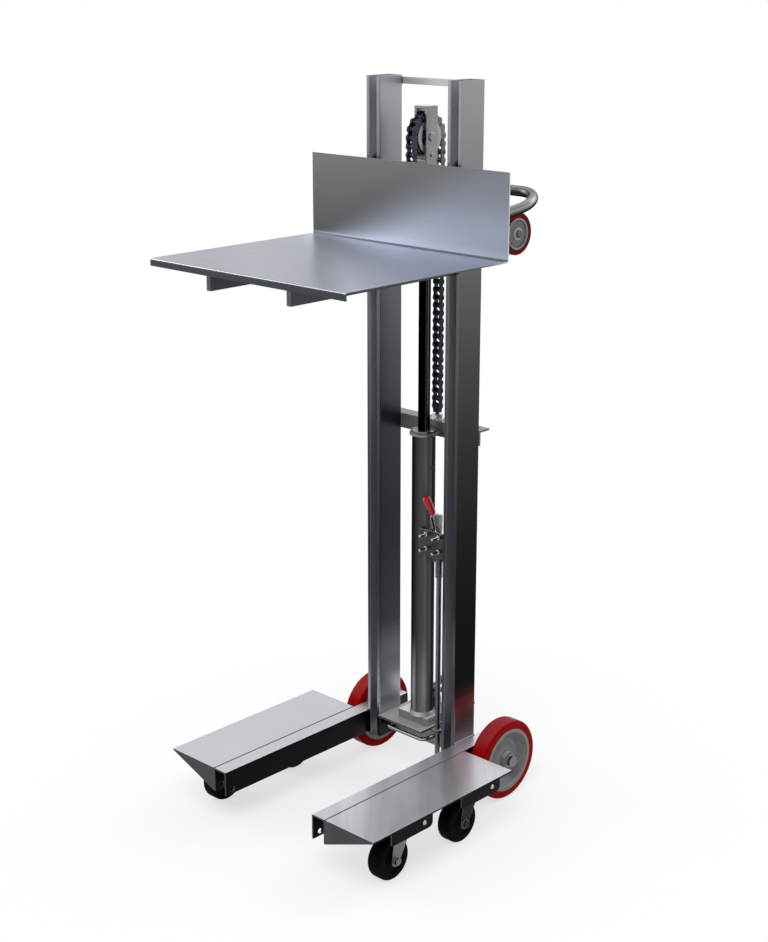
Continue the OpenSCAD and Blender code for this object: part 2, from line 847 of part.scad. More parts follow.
// threaded anchor of the rear chain run with nuts above and below the crossbar
module chain_anchor() {
  color("lightgrey") {
    zcyl(0, strand_r_y, angle_z1 - 20, rear_low_z - 11, 5);
    difference() {
      union() {
        block([-out_x + 0.4, strand_r_y - 7, rear_low_z - 16], [out_x - 0.4, strand_r_y + 7, rear_low_z]);
        xcyl(-out_x + 0.4, out_x - 0.4, strand_r_y, rear_low_z, 7);
      }
      xcyl(-out_x, out_x, strand_r_y, rear_low_z, pin_r + 0.3);
    }
    zcyl(0, strand_r_y, angle_z1, angle_z1 + 3, 16);
    translate([0, strand_r_y, angle_z1 + 3]) cylinder(r = 15, h = 10, $fn = 6);
    translate([0, strand_r_y, angle_z1 - angle_t - 7]) cylinder(r = 8.2, h = 7, $fn = 6);
  }
}

// Platform

// one bent sheet: front lip, deck and backrest
module platform() {
  z1 = deck_top_z;
  z0 = deck_top_z - deck_t;
  y0 = deck_front_y;
  y1 = back_y + deck_t;
  ri = bend_r - deck_t;
  color("silver") yz_plate(-deck_w / 2, deck_w / 2) {
    translate([y0 + bend_r, z0]) square([y1 - y0 - 2 * bend_r, deck_t]);
    translate([y0, z1 - lip_h]) square([deck_t, lip_h - bend_r]);
    translate([y1 - deck_t, z0 + bend_r]) square([deck_t, backrest_h - bend_r + deck_t]);
    intersection() {
      translate([y0 + bend_r, z1 - bend_r]) difference() {
        circle(r = bend_r);
        circle(r = ri);
      }
      translate([y0, z1 - bend_r]) square([bend_r, bend_r]);
    }
    intersection() {
      translate([y1 - bend_r, z0 + bend_r]) difference() {
        circle(r = bend_r);
        circle(r = ri);
      }
      translate([y1 - bend_r, z0]) square([bend_r, bend_r]);
    }
  }
}

// L shaped arm plate: under the deck, up behind the backrest and into the column
module arm() {
  y0 = deck_front_y + arm_setback;
  yb = back_y + deck_t;
  ye = mast_y + 22;
  z1 = deck_top_z - deck_t;
  difference() {
    yz_plate(-arm_t / 2, arm_t / 2) {
      translate([y0, arm_bot_z]) square([ye - y0 - 12, arm_h]);
      translate([y0, arm_bot_z + 12]) square([ye - y0, arm_h - 12]);
      translate([ye - 12, arm_bot_z + 12]) circle(r = 12);
      translate([yb, z1 - 6]) square([ye - yb, arm_top_z - z1 - 6]);
      translate([yb, z1]) square([ye - yb - 12, arm_top_z - z1]);
      translate([ye - 12, arm_top_z - 12]) circle(r = 12);
    }
    block([-arm_t, yb - bend_r - 1, z1], [arm_t, yb, z1 + bend_r + 1]);
  }
  for (z = [low_pin_z, high_pin_z])
    xcyl(-arm_t / 2 - roller_w - 0.9, arm_t / 2 + roller_w + 0.9, mast_y, z, roller_pin_r);
}

module platform_arm_left() {
  color("silver") translate([-col_c, 0, 0]) arm();
}

module platform_arm_right() {
  color("silver") translate([col_c, 0, 0]) arm();
}

// plate behind the backrest with two cheeks and the pin of the front chain run
module chain_bracket() {
  yb = back_y + deck_t;
  xc = out_x + 0.5;
  color("silver") {
    block([-25, yb, deck_top_z + 25], [25, yb + 4, front_low_z + 4]);
    for (x = [-xc - 4, xc]) yz_plate(x, x + 4) {
      strip([strand_f_y, front_low_z - 24], [strand_f_y, front_low_z], 16);
      translate([yb + 3, front_low_z - 30]) square([strand_f_y - yb - 3, 34]);
    }
    xcyl(-xc - 5, xc + 5, strand_f_y, front_low_z, pin_r);
  }
}

// pair of rollers, one on each side of an arm plate
module roller_pair(x, z) {
  for (s = [-1, 1]) translate([x + s * (arm_t / 2 + 0.4 + roller_w / 2), mast_y, z])
    rotate([0, 90, 0]) rotate_extrude($fn = 72) {
      translate([roller_pin_r + fit, -roller_w / 2]) square([roller_r - roller_pin_r - fit, roller_w]);
    }
}

module mast_rollers_upper_left() {
  color("gray") roller_pair(-col_c, high_pin_z);
}

module mast_rollers_upper_right() {
  color("gray") roller_pair(col_c, high_pin_z);
}

module mast_rollers_lower_left() {
  color("gray") roller_pair(-col_c, low_pin_z);
}

module mast_rollers_lower_right() {
  color("gray") roller_pair(col_c, low_pin_z);
}

// Floor lock

// plate on the right column that carries the lock
module lock_bracket() {
  color("silver") difference() {
    union() {
      block([14, lock_plate_y, lock_z - 72.4], [col_in, lock_plate_y + 3, lock_z - 7.4]);
      block([col_in - 4, lock_plate_y, lock_z - 72.4], [col_in, lock_plate_y + 36, lock_z - 7.4]);
    }
    for (x = lock_bolt_x, z = lock_bolt_z) translate([x, lock_plate_y - 1, z]) rotate([-90, 0, 0])
      cylinder(r = 3.3, h = 5);
  }
}

// body of the lock: flange, barrel, sleeve and two pivot cheeks with their pin
module lock_base() {
  color("gray") difference() {
    union() {
      block([lock_x - 22, lock_plate_y + 3, lock_z - 70], [lock_x + 31, lock_plate_y + 7, lock_z - 8]);
      block([lock_x - 8, lock_plate_y + 6, lock_z - 86], [lock_x + 8, lock_y, lock_z - 26]);
      zcyl(lock_x, lock_y, lock_z - 89, lock_z - 26, 11);
      zcyl(lock_x, lock_y, lock_z - 132, lock_z - 88, 8.4);
      for (x = [lock_x - 10, lock_x + 7]) yz_plate(x, x + 3) {
        strip([crank_y, lock_z - 22], [crank_y, lock_z], 12);
        translate([lock_plate_y + 3, lock_z - 35]) square([22, 18]);
      }
      xcyl(lock_x - 11.5, lock_x + 11.5, crank_y, lock_z, 3);
    }
    zcyl(lock_x, lock_y, lock_z - 133, lock_z - 25, lock_r + fit);
    for (x = lock_bolt_x, z = lock_bolt_z) translate([x, lock_plate_y + 2, z]) rotate([-90, 0, 0])
      cylinder(r = 3.3, h = 6);
  }
}

// hand lever: two side plates, crank pin and a stub for the grip
module lock_lever() {
  cy = crank_y;
  by = cy + crank_r * cos(crank_a);
  bz = lock_z + crank_r * sin(crank_a);
  color("lightgrey") {
    for (x = [lock_x - 6.7, lock_x + 3.7]) difference() {
      yz_plate(x, x + 3) union() {
        polygon([[cy - 6.5, lock_z], [grip_y - 6, grip_z - 8], [grip_y - 4, grip_z - 1],
          [grip_y + 1, grip_z + 1], [by + 3, grip_z - 2], [by + 6, grip_z - 7], [by + 5, bz],
          [by + 2, lock_z - 5], [by - 2, lock_z - 7], [cy + 2, lock_z - 6], [cy - 4, lock_z - 5]]);
        translate([by, bz]) circle(r = 5);
        translate([cy, lock_z]) circle(r = 7);
      }
      xcyl(x - 1, x + 4, cy, lock_z, 3 + fit);
    }
    xcyl(lock_x - 7.2, lock_x + 7.2, by, bz, 3);
    block([lock_x - 4.5, grip_y - 3, grip_z - 5], [lock_x + 4.5, grip_y + 3, grip_z + 2]);
    for (x = [lock_x - 7.7, lock_x + 6.7]) xcyl(x, x + 1, by + 2, grip_z - 14, 2.6);
    translate([lock_x, grip_y, grip_z]) rotate([grip_lean, 0, 0]) cylinder(r = 3.4, h = 50);
  }
}

// red hand grip on the lever
module lock_grip() {
  color("firebrick") translate([lock_x, grip_y, grip_z]) rotate([grip_lean, 0, 0]) difference() {
    union() {
      translate([0, 0, 10]) cylinder(r1 = 8.6, r2 = 10, h = 39);
      translate([0, 0, 49]) cylinder(r = 10, h = 5);
      translate([0, 0, 54]) scale([1, 1, 0.7]) sphere(r = 10);
      translate([0, 0, 7]) cylinder(r = 7, h = 4);
    }
    translate([0, 0, -1]) cylinder(r = 3.42, h = 51.05);
  }
}

// lock rod: slotted head, long rod and foot pad
module lock_rod() {
  bz = lock_z + crank_r * sin(crank_a);
  color("dimgray") {
    difference() {
      union() {
        zcyl(lock_x, lock_y, 24, lock_z - 6, lock_r);
        block([lock_x - 3, lock_y - 8, lock_z - 10], [lock_x + 3, lock_y + 8, bz + 7]);
      }
      block([lock_x - 4, lock_y - 6, bz - 3.6], [lock_x + 4, lock_y + 9, bz + 3.6]);
      for (x = [lock_x - 10, lock_x + 3])
        block([x, lock_y - 10, lock_z - 23], [x + 7, lock_y + 10, lock_z]);
    }
    zcyl(lock_x, lock_y, 30, 38, 11);
    zcyl(lock_x, lock_y, 16, 31, 17);
  }
}

// Foot controls

// pump pedal: two arms, cross pin and ribbed tread at the rear
module pump_pedal() {
  color("silver") {
    for (x = [pump_axis_x - 19, pump_axis_x + 14]) yz_plate(x, x + 5) {
      strip([pedal_y, pedal_z], [pedal_y + 12, pedal_z + 14], 16);
      strip([pedal_y + 12, pedal_z + 14], [318, pedal_z + 14], 12);
    }
    xcyl(pump_axis_x - 30, pump_axis_x + 30, pedal_y, pedal_z, 4);
    xcyl(pump_axis_x - 16, pump_axis_x + 16, pump_axis_y, pedal_z + 14, 5.5);
    block([pump_axis_x - 32, 284, pedal_z + 18], [pump_axis_x + 32, 326, pedal_z + 22]);
    for (i = [0 : 4]) block([pump_axis_x - 30, 287 + i * 8, pedal_z + 22],
      [pump_axis_x + 30, 290 + i * 8, pedal_z + 23.5]);
  }
}

// pump plunger with its cap
module pump_plunger() {
  color("lightgrey") {
    zcyl(pump_axis_x, pump_axis_y, base_top + 20, pedal_z + 4, 8);
    zcyl(pump_axis_x, pump_axis_y, pedal_z + 2, pedal_z + 8, 11);
  }
}

// small foot lever that opens the lowering valve
module release_lever() {
  zc = base_top + 11;
  color("silver") {
    xcyl(pump_x1 - 11, pump_x1 + 6, pump_axis_y, zc, 4);
    yz_plate(pump_x1 + 0.5, pump_x1 + 6) strip([pump_axis_y, zc], [300, zc + 10], 13);
    block([pump_x1 + 0.5, 286, zc + 14], [pump_x1 + 30, 308, zc + 17.5]);
  }
}

// Fasteners

// dome headed bolts of the caster channels and the four long studs of the lock
module frame_bolts() {
  color("lightgrey") {
    for (s = [-1, 1], y = [caster_front_y, caster_rear_y]) mirror([s < 0 ? 1 : 0, 0, 0]) {
      yb = y + mount_len / 2 - bolt_back;
      zb = wing_z0 - 12;
      xcyl(wing_x - mount_t - 7.3, wing_x + 0.5, yb, zb, 4);
      translate([wing_x, yb, zb]) rotate([0, 90, 0]) rotate_extrude() intersection() {
        translate([0, -2.6]) circle(r = 6.6);
        square([8, 8]);
      }
      xhex(wing_x - mount_t - 6, wing_x - mount_t, yb, zb, 12);
    }
    for (x = lock_bolt_x, z = lock_bolt_z) {
      translate([x, back_y + deck_t + 4.2, z]) rotate([-90, 0, 0])
        cylinder(r = 3.2, h = lock_plate_y + 11 - back_y - deck_t - 4.2);
      yhex(x, lock_plate_y + 7, lock_plate_y + 12, z, 9);
      yhex(x, lock_plate_y - 10, lock_plate_y, z, 10);
    }
  }
}

mast_column_left();
mast_column_right();
top_crossbar();
mid_crossbar();
base_crossmember();
base_plate();
guard_bar();
leg_channel_left();
leg_channel_right();
wing_plate_left();
wing_plate_right();
caster_top_plates();
rear_axle();
axle_nuts();
push_handle();
load_wheel_bracket_left();
load_wheel_bracket_right();
pump_block();
cylinder_tube();
guide_plate();
gland_nut();
chain_anchor();
lock_bracket();
lock_base();
frame_bolts();
piston_rod();
yoke();
chain_over_wheel();
chain_wheel();
chain_rear_strand();
chain_front_strand();
platform();
platform_arm_left();
platform_arm_right();
chain_bracket();
mast_rollers_upper_left();
mast_rollers_upper_right();
mast_rollers_lower_left();
mast_rollers_lower_right();
caster_fork_front_left();
caster_fork_front_right();
caster_fork_rear_left();
caster_fork_rear_right();
caster_wheel_front_left();
caster_wheel_front_right();
caster_wheel_rear_left();
caster_wheel_rear_right();
rear_tyre_left();
rear_tyre_right();
rear_hub_left();
rear_hub_right();
load_wheel_left();
load_wheel_right();
lock_lever();
lock_grip();
lock_rod();
pump_pedal();
pump_plunger();
release_lever();
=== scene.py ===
"""Looks of a foot pump lift truck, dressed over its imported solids."""

import logging
import math
from dataclasses import dataclass
from enum import Enum
from itertools import product
from typing import Any, Callable, ClassVar, Sequence

import bmesh
import bpy
from mathutils import Matrix, Vector

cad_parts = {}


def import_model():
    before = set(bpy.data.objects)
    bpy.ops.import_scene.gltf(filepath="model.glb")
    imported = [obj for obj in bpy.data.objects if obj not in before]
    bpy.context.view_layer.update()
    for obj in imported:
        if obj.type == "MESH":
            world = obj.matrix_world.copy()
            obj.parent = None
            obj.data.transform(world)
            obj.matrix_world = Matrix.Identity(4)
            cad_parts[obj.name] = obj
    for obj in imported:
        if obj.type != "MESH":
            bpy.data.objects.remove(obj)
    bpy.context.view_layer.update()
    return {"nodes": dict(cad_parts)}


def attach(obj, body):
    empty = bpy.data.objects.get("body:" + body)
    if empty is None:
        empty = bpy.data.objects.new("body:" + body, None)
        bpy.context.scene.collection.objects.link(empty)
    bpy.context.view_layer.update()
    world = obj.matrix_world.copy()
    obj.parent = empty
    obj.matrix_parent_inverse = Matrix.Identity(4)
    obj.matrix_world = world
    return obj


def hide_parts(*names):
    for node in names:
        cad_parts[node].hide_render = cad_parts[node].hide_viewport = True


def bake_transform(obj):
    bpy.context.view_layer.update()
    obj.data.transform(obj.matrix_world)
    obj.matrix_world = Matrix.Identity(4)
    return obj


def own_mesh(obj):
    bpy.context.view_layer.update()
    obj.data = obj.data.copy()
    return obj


log = logging.getLogger("lift_truck")

Colour = tuple[float, float, float]
Point = tuple[float, float, float]
Stops = tuple[tuple[float, Any], ...]
Pair = tuple[float, float]
Outline = Sequence[Pair]
Work = bmesh.types.BMesh
Material = bpy.types.Material
Palette = dict[str, Material]

# Directions in the truck's frame; SWEEP and SLANT run across the view, COUNTER at right angles to SLANT.
ACROSS = (1.0, 0.0, 0.0)
BACKWARDS = (0.0, 1.0, 0.0)
UPWARDS = (0.0, 0.0, 1.0)
SWEEP = (0.82, 1.0, 0.0)
SLANT = (0.728, 0.686, 0.0)
COUNTER = (0.686, -0.728, 0.0)


class Grain(Enum):
    """Direction of the brushing marks on sheet and bar, as the scale of their noise."""

    ALONG_X = (0.5, 60.0, 60.0)
    ALONG_Y = (60.0, 0.5, 60.0)
    ALONG_Z = (60.0, 60.0, 0.5)


class Facing(Enum):
    """Way that a set of faces looks."""

    UP = (0.0, 0.0, 1.0)
    DOWN = (0.0, 0.0, -1.0)
    FRONT = (0.0, -1.0, 0.0)
    RIGHT = (1.0, 0.0, 0.0)
    LEFT = (-1.0, 0.0, 0.0)


# Node trees


class Value:
    """An output socket that takes part in arithmetic.

    Args:
        tree: The tree that new nodes go into.
        socket: The socket, or None for a node that ends a tree.
    """

    def __init__(self, tree: "Tree", socket: bpy.types.NodeSocket | None) -> None:
        """Keep the tree and the socket."""
        self.tree = tree
        self.socket = socket

    def _math(self, operation: str, a: Any, b: Any) -> "Value":
        """Add a Math node for a and b."""
        return self.tree.add("ShaderNodeMath", {"operation": operation}, {0: a, 1: b})

    def __add__(self, other: Any) -> "Value":
        """self + other."""
        return self._math("ADD", self, other)

    __radd__ = __add__

    def __sub__(self, other: Any) -> "Value":
        """self - other."""
        return self._math("SUBTRACT", self, other)

    def __rsub__(self, other: Any) -> "Value":
        """other - self."""
        return self._math("SUBTRACT", other, self)

    def __mul__(self, other: Any) -> "Value":
        """self * other."""
        return self._math("MULTIPLY", self, other)

    __rmul__ = __mul__

    def abs(self) -> "Value":
        """Size of the value without its sign."""
        return self._math("ABSOLUTE", self, 0.0)


class Tree:
    """A node tree that is built node by node.

    Args:
        tree: The tree that the nodes go into.
    """

    def __init__(self, tree: bpy.types.NodeTree) -> None:
        """Find the tree's nodes and links."""
        self.nodes = tree.nodes
        self.links = tree.links

    def add(
        self,
        kind: str,
        settings: dict[str, Any] | None = None,
        inputs: dict[Any, Any] | None = None,
        output: Any = 0,
    ) -> Value:
        """Add one node.

        Args:
            kind: Type of the node.
            settings: Properties of the node; "stops" sets a colour ramp.
            inputs: Values or links of its sockets, by name or number.
            output: Name or number of the socket that is handed back.

        Returns:
            The output socket.
        """
        node = self.nodes.new(kind)
        for key, value in (settings or {}).items():
            if key == "stops":
                ramp = node.color_ramp
                while len(ramp.elements) < len(value):
                    ramp.elements.new(1.0)
                for element, (place, colour) in zip(ramp.elements, value):
                    element.position = place
                    element.color = (*colour, 1.0)
            else:
                setattr(node, key, value)
        for key, value in (inputs or {}).items():
            self.put(node.inputs[key], value)
        return Value(self, node.outputs[output] if node.outputs else None)

    def put(self, socket: bpy.types.NodeSocket, value: Any) -> None:
        """Link a value to a socket, or set it there.

        Args:
            socket: The input socket.
            value: A Value, a number, a vector or a colour of three.
        """
        if isinstance(value, Value):
            self.links.new(value.socket, socket)
        elif isinstance(value, tuple) and len(value) == 3 and socket.type == "RGBA":
            socket.default_value = (*value, 1.0)
        else:
            socket.default_value = value

    def seen(self) -> Value:
        """Tell the rays that show the white surround from those that only light the truck.

        Returns:
            1 for camera, glossy and transmission rays, else 0.
        """
        kinds = ("Is Camera Ray", "Is Glossy Ray", "Is Transmission Ray")
        camera, glossy, through = (self.add("ShaderNodeLightPath", output=kind) for kind in kinds)
        return self.add("ShaderNodeClamp", inputs={0: camera + glossy + through})


class Shader(Tree):
    """A material with a Principled surface.

    Args:
        name: Name of the material.
    """

    def __init__(self, name: str) -> None:
        """Make the material and find its surface node."""
        self.material = bpy.data.materials.new(name)
        self.material.use_nodes = True
        super().__init__(self.material.node_tree)
        self.surface = next(n for n in self.nodes if n.type == "BSDF_PRINCIPLED")

    def set(self, **sockets: Any) -> None:
        """Set or link sockets of the surface, with _ for each space."""
        for key, value in sockets.items():
            self.put(self.surface.inputs[key.replace("_", " ").title().replace("Ior", "IOR")], value)

    def place(self, scale: Point = (1.0, 1.0, 1.0)) -> Value:
        """Object coordinates, scaled along each axis."""
        where = self.add("ShaderNodeTexCoord", output="Object")
        return self.add("ShaderNodeMapping", inputs={"Vector": where, "Scale": scale})

    def noise(self, place: Value, scale: float, detail: float = 3.0, rough: float = 0.5) -> Value:
        """Noise from 0 to 1 on the given coordinates."""
        inputs = {"Vector": place, "Scale": scale, "Detail": detail, "Roughness": rough}
        return self.add("ShaderNodeTexNoise", inputs=inputs)

    def span(self, value: Value, a: float, b: float, low: float, high: float) -> Value:
        """Map a value from a..b to low..high, smoothly and clamped."""
        inputs = {0: value, 1: a, 2: b, 3: low, 4: high}
        return self.add("ShaderNodeMapRange", {"interpolation_type": "SMOOTHSTEP"}, inputs)

    def waver(self, noise: Value, depth: float) -> Value:
        """A factor that goes up and down round 1 with a noise."""
        return self.span(noise, 0.3, 0.7, 1 - depth, 1 + depth)

    def mix(self, factor: Any, a: Any, b: Any, blend: str = "MIX") -> Value:
        """Mix two colours."""
        settings = {"data_type": "RGBA", "blend_type": blend}
        return self.add("ShaderNodeMix", settings, {0: factor, 6: a, 7: b}, 2)

    def edges(self, radius: float) -> Value:
        """Normal with its sharp edges rounded."""
        return self.add("ShaderNodeBevel", {"samples": 6}, {"Radius": radius})

    def measure(self, operation: str, a: Value, b: Any = (0.0, 0.0, 0.0)) -> Value:
        """The number that a Vector Math operation gives for two vectors."""
        return self.add("ShaderNodeVectorMath", {"operation": operation}, {0: a, 1: b}, "Value")

    def reach(self, direction: Point) -> Value:
        """How far a point lies in a direction."""
        return self.measure("DOT_PRODUCT", self.place(), direction)

    def normal(self) -> Value:
        """The normal in the truck's own axes."""
        return self.add("ShaderNodeTexCoord", output="Normal")

    def bump(self, height: Value, strength: float, normal: Value) -> Value:
        """A normal disturbed by marks of at most MARK_DEPTH."""
        inputs = {"Height": height, "Strength": strength, "Distance": MARK_DEPTH, "Normal": normal}
        return self.add("ShaderNodeBump", inputs=inputs)


# Finishes

MARK_DEPTH = 0.0004  # metres
FACING_FADE = (0.5, 0.8)  # cosines between which a face starts to count as looking a way
DISC_FADE = 0.0004  # metres on each side of a disc's rim
BAND_CORE = 0.6  # share of a band's half width that has its full tone
EDGE_PAINT_FADE = (0.8, 0.985)  # cosines between a rounded edge and its face
EDGE_PAINT_SHARE = 0.85  # strongest share of the painted edge tone
MOTTLE = ((420.0,), (26.0,))  # scale, detail and roughness of the fine and the wide noise
BRUSHING = ((16.0, 6.0, 0.62), (3.4,))  # the same, on sheet and bar
STREAK_SCALE = (34.0, 1.6)  # of the broad streaks, along SLANT and along COUNTER
SHEEN = (-0.06, 0.08)  # how far the brushing changes the roughness
BRUSH_BUMP = 0.025  # how strongly it turns the normal
SCUFFS, GRIT = (38.0, 5.0), 700.0  # scale and detail of the scuffs, scale of the grit
SCUFF_SHARE = 0.4  # strongest scuff on rubber
SCUFF_SHEEN = (-0.06, 0.12)  # how far the scuffs change the roughness
RUBBER_EDGE = 0.0009  # metres, radius of its edges


def shown(tone: Any, gain: float = 1.0) -> Colour:
    """Turn a tone as it is seen, from 0 to 255, into a colour value.

    Args:
        tone: A grey level, or three levels.
        gain: Factor on the result.

    Returns:
        The colour, in linear light.
    """
    levels = tone if isinstance(tone, tuple) else (tone, tone, tone + 2)
    return tuple(min(1.0, gain * (v / 255) ** 2.2) for v in levels)


@dataclass(frozen=True)
class Field:
    """Tones over one set of faces; they carry the painted light, shade and reflections of a finish, besides its own
    colours.

    Args:
        stops: Places along the direction, each with its tone from 0 to 255.
        facing: Way that the faces look; None takes every face.
        along: Direction in which the tone changes.
        side: Direction and two places along it between which the field fades in.
        round: True where the direction is held against the normal, as on a tube.
        disc: Middle along Y and Z and radius, for a field round a wheel's axle.
        band: Direction, middle and half width of a stripe.
        dull: True where the faces don't shine.
    """

    stops: Stops
    facing: Facing | None = None
    along: Point = UPWARDS
    side: tuple[Point, float, float] | None = None
    round: bool = False
    disc: tuple[float, float, float] | None = None
    band: tuple[Point, float, float] | None = None
    dull: bool = False

    def tone(self, s: Shader, gain: float) -> Any:
        """Colour of the field.

        Args:
            s: The shader that the nodes go into.
            gain: Factor on every tone.

        Returns:
            One colour, or a ramp along the field's direction.
        """
        if len(self.stops) == 1:
            return shown(self.stops[0][1], gain)
        low, high = self.stops[0][0], self.stops[-1][0]
        reach = s.measure("DOT_PRODUCT", s.normal(), self.along) if self.round else s.reach(self.along)
        share = s.add("ShaderNodeMapRange", {}, {0: reach, 1: low, 2: high, 3: 0.0, 4: 1.0})
        ramp = [((place - low) / (high - low), shown(tone, gain)) for place, tone in self.stops]
        return s.add("ShaderNodeValToRGB", {"stops": ramp}, {0: share})

    def weight(self, s: Shader) -> Any:
        """Share of the field at a point.

        Args:
            s: The shader that the nodes go into.

        Returns:
            A number or Value from 0 to 1.
        """
        share: Any = 1.0
        if self.facing is not None:
            share = s.span(s.measure("DOT_PRODUCT", s.normal(), self.facing.value), *FACING_FADE, 0.0, 1.0)
        if self.side is not None:
            direction, a, b = self.side
            low, high = (0.0, 1.0) if a < b else (1.0, 0.0)
            share = s.span(s.reach(direction), min(a, b), max(a, b), low, high) * share
        if self.disc is not None:
            y, z, radius = self.disc
            off = s.measure("DISTANCE", s.place((0.0, 1.0, 1.0)), (0.0, y, z))
            share = s.span(off, radius - DISC_FADE, radius + DISC_FADE, 1.0, 0.0) * share
        if self.band is not None:
            direction, middle, half = self.band
            off = (s.reach(direction) - middle).abs()
            share = s.span(off, half * BAND_CORE, half, 1.0, 0.0) * share
        return share


def layered(s: Shader, fields: tuple[Field, ...], gain: float = 1.0, metal: Any = 0.0) -> tuple[Any, Any]:
    """Lay fields over each other.

    Args:
        s: The shader that the nodes go into.
        fields: The fields; later ones lie over earlier ones.
        gain: Factor on every tone.
        metal: Metallic share where no dull field lies.

    Returns:
        The colour and the metallic share.
    """
    base = fields[0].tone(s, gain)
    for field in fields[1:]:
        share = field.weight(s)
        base = s.mix(share, base, field.tone(s, gain))
        if field.dull:
            metal = metal * (1 - share)
    return base, metal


@dataclass(frozen=True)
class Steel:
    """Bare, plated or painted metal whose light and shade are painted into its tone face by face.

    Args:
        name: Name of the material.
        fields: Fields of tone, with painted light and shade; later ones lie over earlier ones.
        grain: Direction of the brushing marks, or None for a plain mottle.
        rough: Mean roughness.
        marks: Depth of the marks or mottle in the tone.
        metal: Metallic share.
        edge: Tone painted on the rounded edges, a highlight where it is lighter than the faces and shade where it
            is darker, or None.
        bevel_or_scuff: Radius of the rounded edges, which carry the painted edge tone.
        gain: Factor on every tone.
        rim: Tint of the reflections at a grazing angle.
        streaks: Depth of broad streaks that run across the sheet.
    """

    name: str
    fields: tuple[Field, ...]
    grain: Grain | None = None
    rough: float = 0.34
    marks: float = 0.05
    metal: float = 1.0
    edge: float | None = None
    bevel_or_scuff: float = 0.0012
    gain: float = 1.0
    rim: float = 1.0
    streaks: float = 0.0

    def build(self) -> Material:
        """Make the material.

        Returns:
            The material.
        """
        s = Shader(self.name)
        base, metal = layered(s, self.fields, self.gain, self.metal)
        soft = s.edges(self.bevel_or_scuff)
        # Paint the edge tone on the rounded edges: a highlight where lighter than the faces, shade where darker.
        if self.edge is not None:
            turned = s.measure("DOT_PRODUCT", soft, s.add("ShaderNodeNewGeometry", output="True Normal"))
            base = s.mix(s.span(turned, *EDGE_PAINT_FADE, EDGE_PAINT_SHARE, 0.0), base, shown(self.edge, self.gain))
        small, large = BRUSHING if self.grain else MOTTLE
        fine = s.noise(s.place(self.grain.value) if self.grain else s.place(), *small)
        level = s.waver(fine, self.marks) * s.waver(s.noise(s.place(), *large), self.marks)
        if self.streaks:
            spot = {0: s.reach(SLANT) * STREAK_SCALE[0], 1: s.reach(COUNTER) * STREAK_SCALE[1]}
            broad = s.noise(s.add("ShaderNodeCombineXYZ", inputs=spot), 1.0, rough=0.6)
            level = level * s.waver(broad, self.streaks)
        grey = s.add("ShaderNodeCombineXYZ", inputs={0: level, 1: level, 2: level})
        s.set(base_color=s.mix(1.0, base, grey, "MULTIPLY"), metallic=metal)
        s.set(roughness=s.span(fine, 0.25, 0.75, *(self.rough + change for change in SHEEN)))
        s.set(normal=s.bump(fine, BRUSH_BUMP, soft), specular_tint=(self.rim, self.rim, self.rim))
        return s.material


@dataclass(frozen=True)
class Moulded:
    """Moulded rubber, urethane or dipped vinyl.

    Args:
        name: Name of the material.
        fields: Fields of tone; later ones lie over earlier ones.
        rough: Mean roughness.
        bevel_or_scuff: Tone of the scuffed patches.
        grit: Strength of the fine surface grit.
        coat: Weight of the gloss coat.
        shine: Strength of the reflections.
    """

    name: str
    fields: tuple[Field, ...]
    rough: float
    bevel_or_scuff: Any
    grit: float = 0.15
    coat: float = 0.0
    shine: float = 0.12

    def build(self) -> Material:
        """Make the material.

        Returns:
            The material.
        """
        s = Shader(self.name)
        base, _ = layered(s, self.fields)
        scuff, grit = s.noise(s.place(), *SCUFFS), s.noise(s.place(), GRIT)
        s.set(base_color=s.mix(s.span(scuff, 0.55, 0.8, 0.0, SCUFF_SHARE), base, shown(self.bevel_or_scuff)))
        s.set(roughness=s.span(scuff, 0.3, 0.75, *(self.rough + change for change in SCUFF_SHEEN)))
        s.set(normal=s.bump(grit, self.grit, s.edges(RUBBER_EDGE)), specular_ior_level=self.shine)
        s.set(coat_weight=self.coat)
        return s.material


def plain(tone: Any, **where: Any) -> Field:
    """One tone, over every face or where the side, disc or band of Field says."""
    return Field(((0.0, tone),), **where)


def face(facing: Facing, tone: Any, **where: Any) -> Field:
    """One tone over the faces that look one way."""
    return plain(tone, facing=facing, **where)


def faces(rest: Any, **tones: Any) -> tuple[Field, ...]:
    """One tone for each way that faces look, named as in Facing, over one for the rest."""
    return (plain(rest), *(face(Facing[way.upper()], tone) for way, tone in tones.items()))


def cooler(stops: Stops, red: float, blue: float) -> Stops:
    """Give grey tones a cooler cast.

    Args:
        stops: Places with their grey tones.
        red: Levels taken from red.
        blue: Levels added to blue.

    Returns:
        The same places with three levels each.
    """
    return tuple((place, (tone - red, tone, min(255, tone + blue))) for place, tone in stops)


def leg_finish(name: str, top: Stops, seam: Pair, streaks: float) -> Steel:
    """Finish of one leg and its wing, with light and shade painted by the way its faces look.

    Args:
        name: Name of the material.
        top: Tones of the top along the truck, painted light.
        seam: Place across the truck and tone of the seam between leg and wing.
        streaks: Depth of the broad streaks.

    Returns:
        The finish.
    """
    fields = (
        plain(70),
        Field(cooler(top, 0, 7), Facing.UP, BACKWARDS),
        plain(seam[1], band=(ACROSS, seam[0], 0.0024)),
        # Painted shade: right sides darker towards the front, outer edges of the wings near black, undersides dark
        # but lighter at the toe.
        Field(((-0.36, 18), (0.08, 24), (0.13, 46)), Facing.RIGHT, BACKWARDS),
        face(Facing.LEFT, 60),
        face(Facing.RIGHT, 2, side=(ACROSS, 0.33, 0.335)),
        face(Facing.LEFT, 4, side=(ACROSS, -0.33, -0.335)),
        face(Facing.FRONT, 72),
        face(Facing.DOWN, 12),
        face(Facing.DOWN, 96, side=(BACKWARDS, -0.29, -0.295)),
    )
    return Steel(name, fields, Grain.ALONG_X, 0.36, 0.025, edge=48, streaks=streaks)


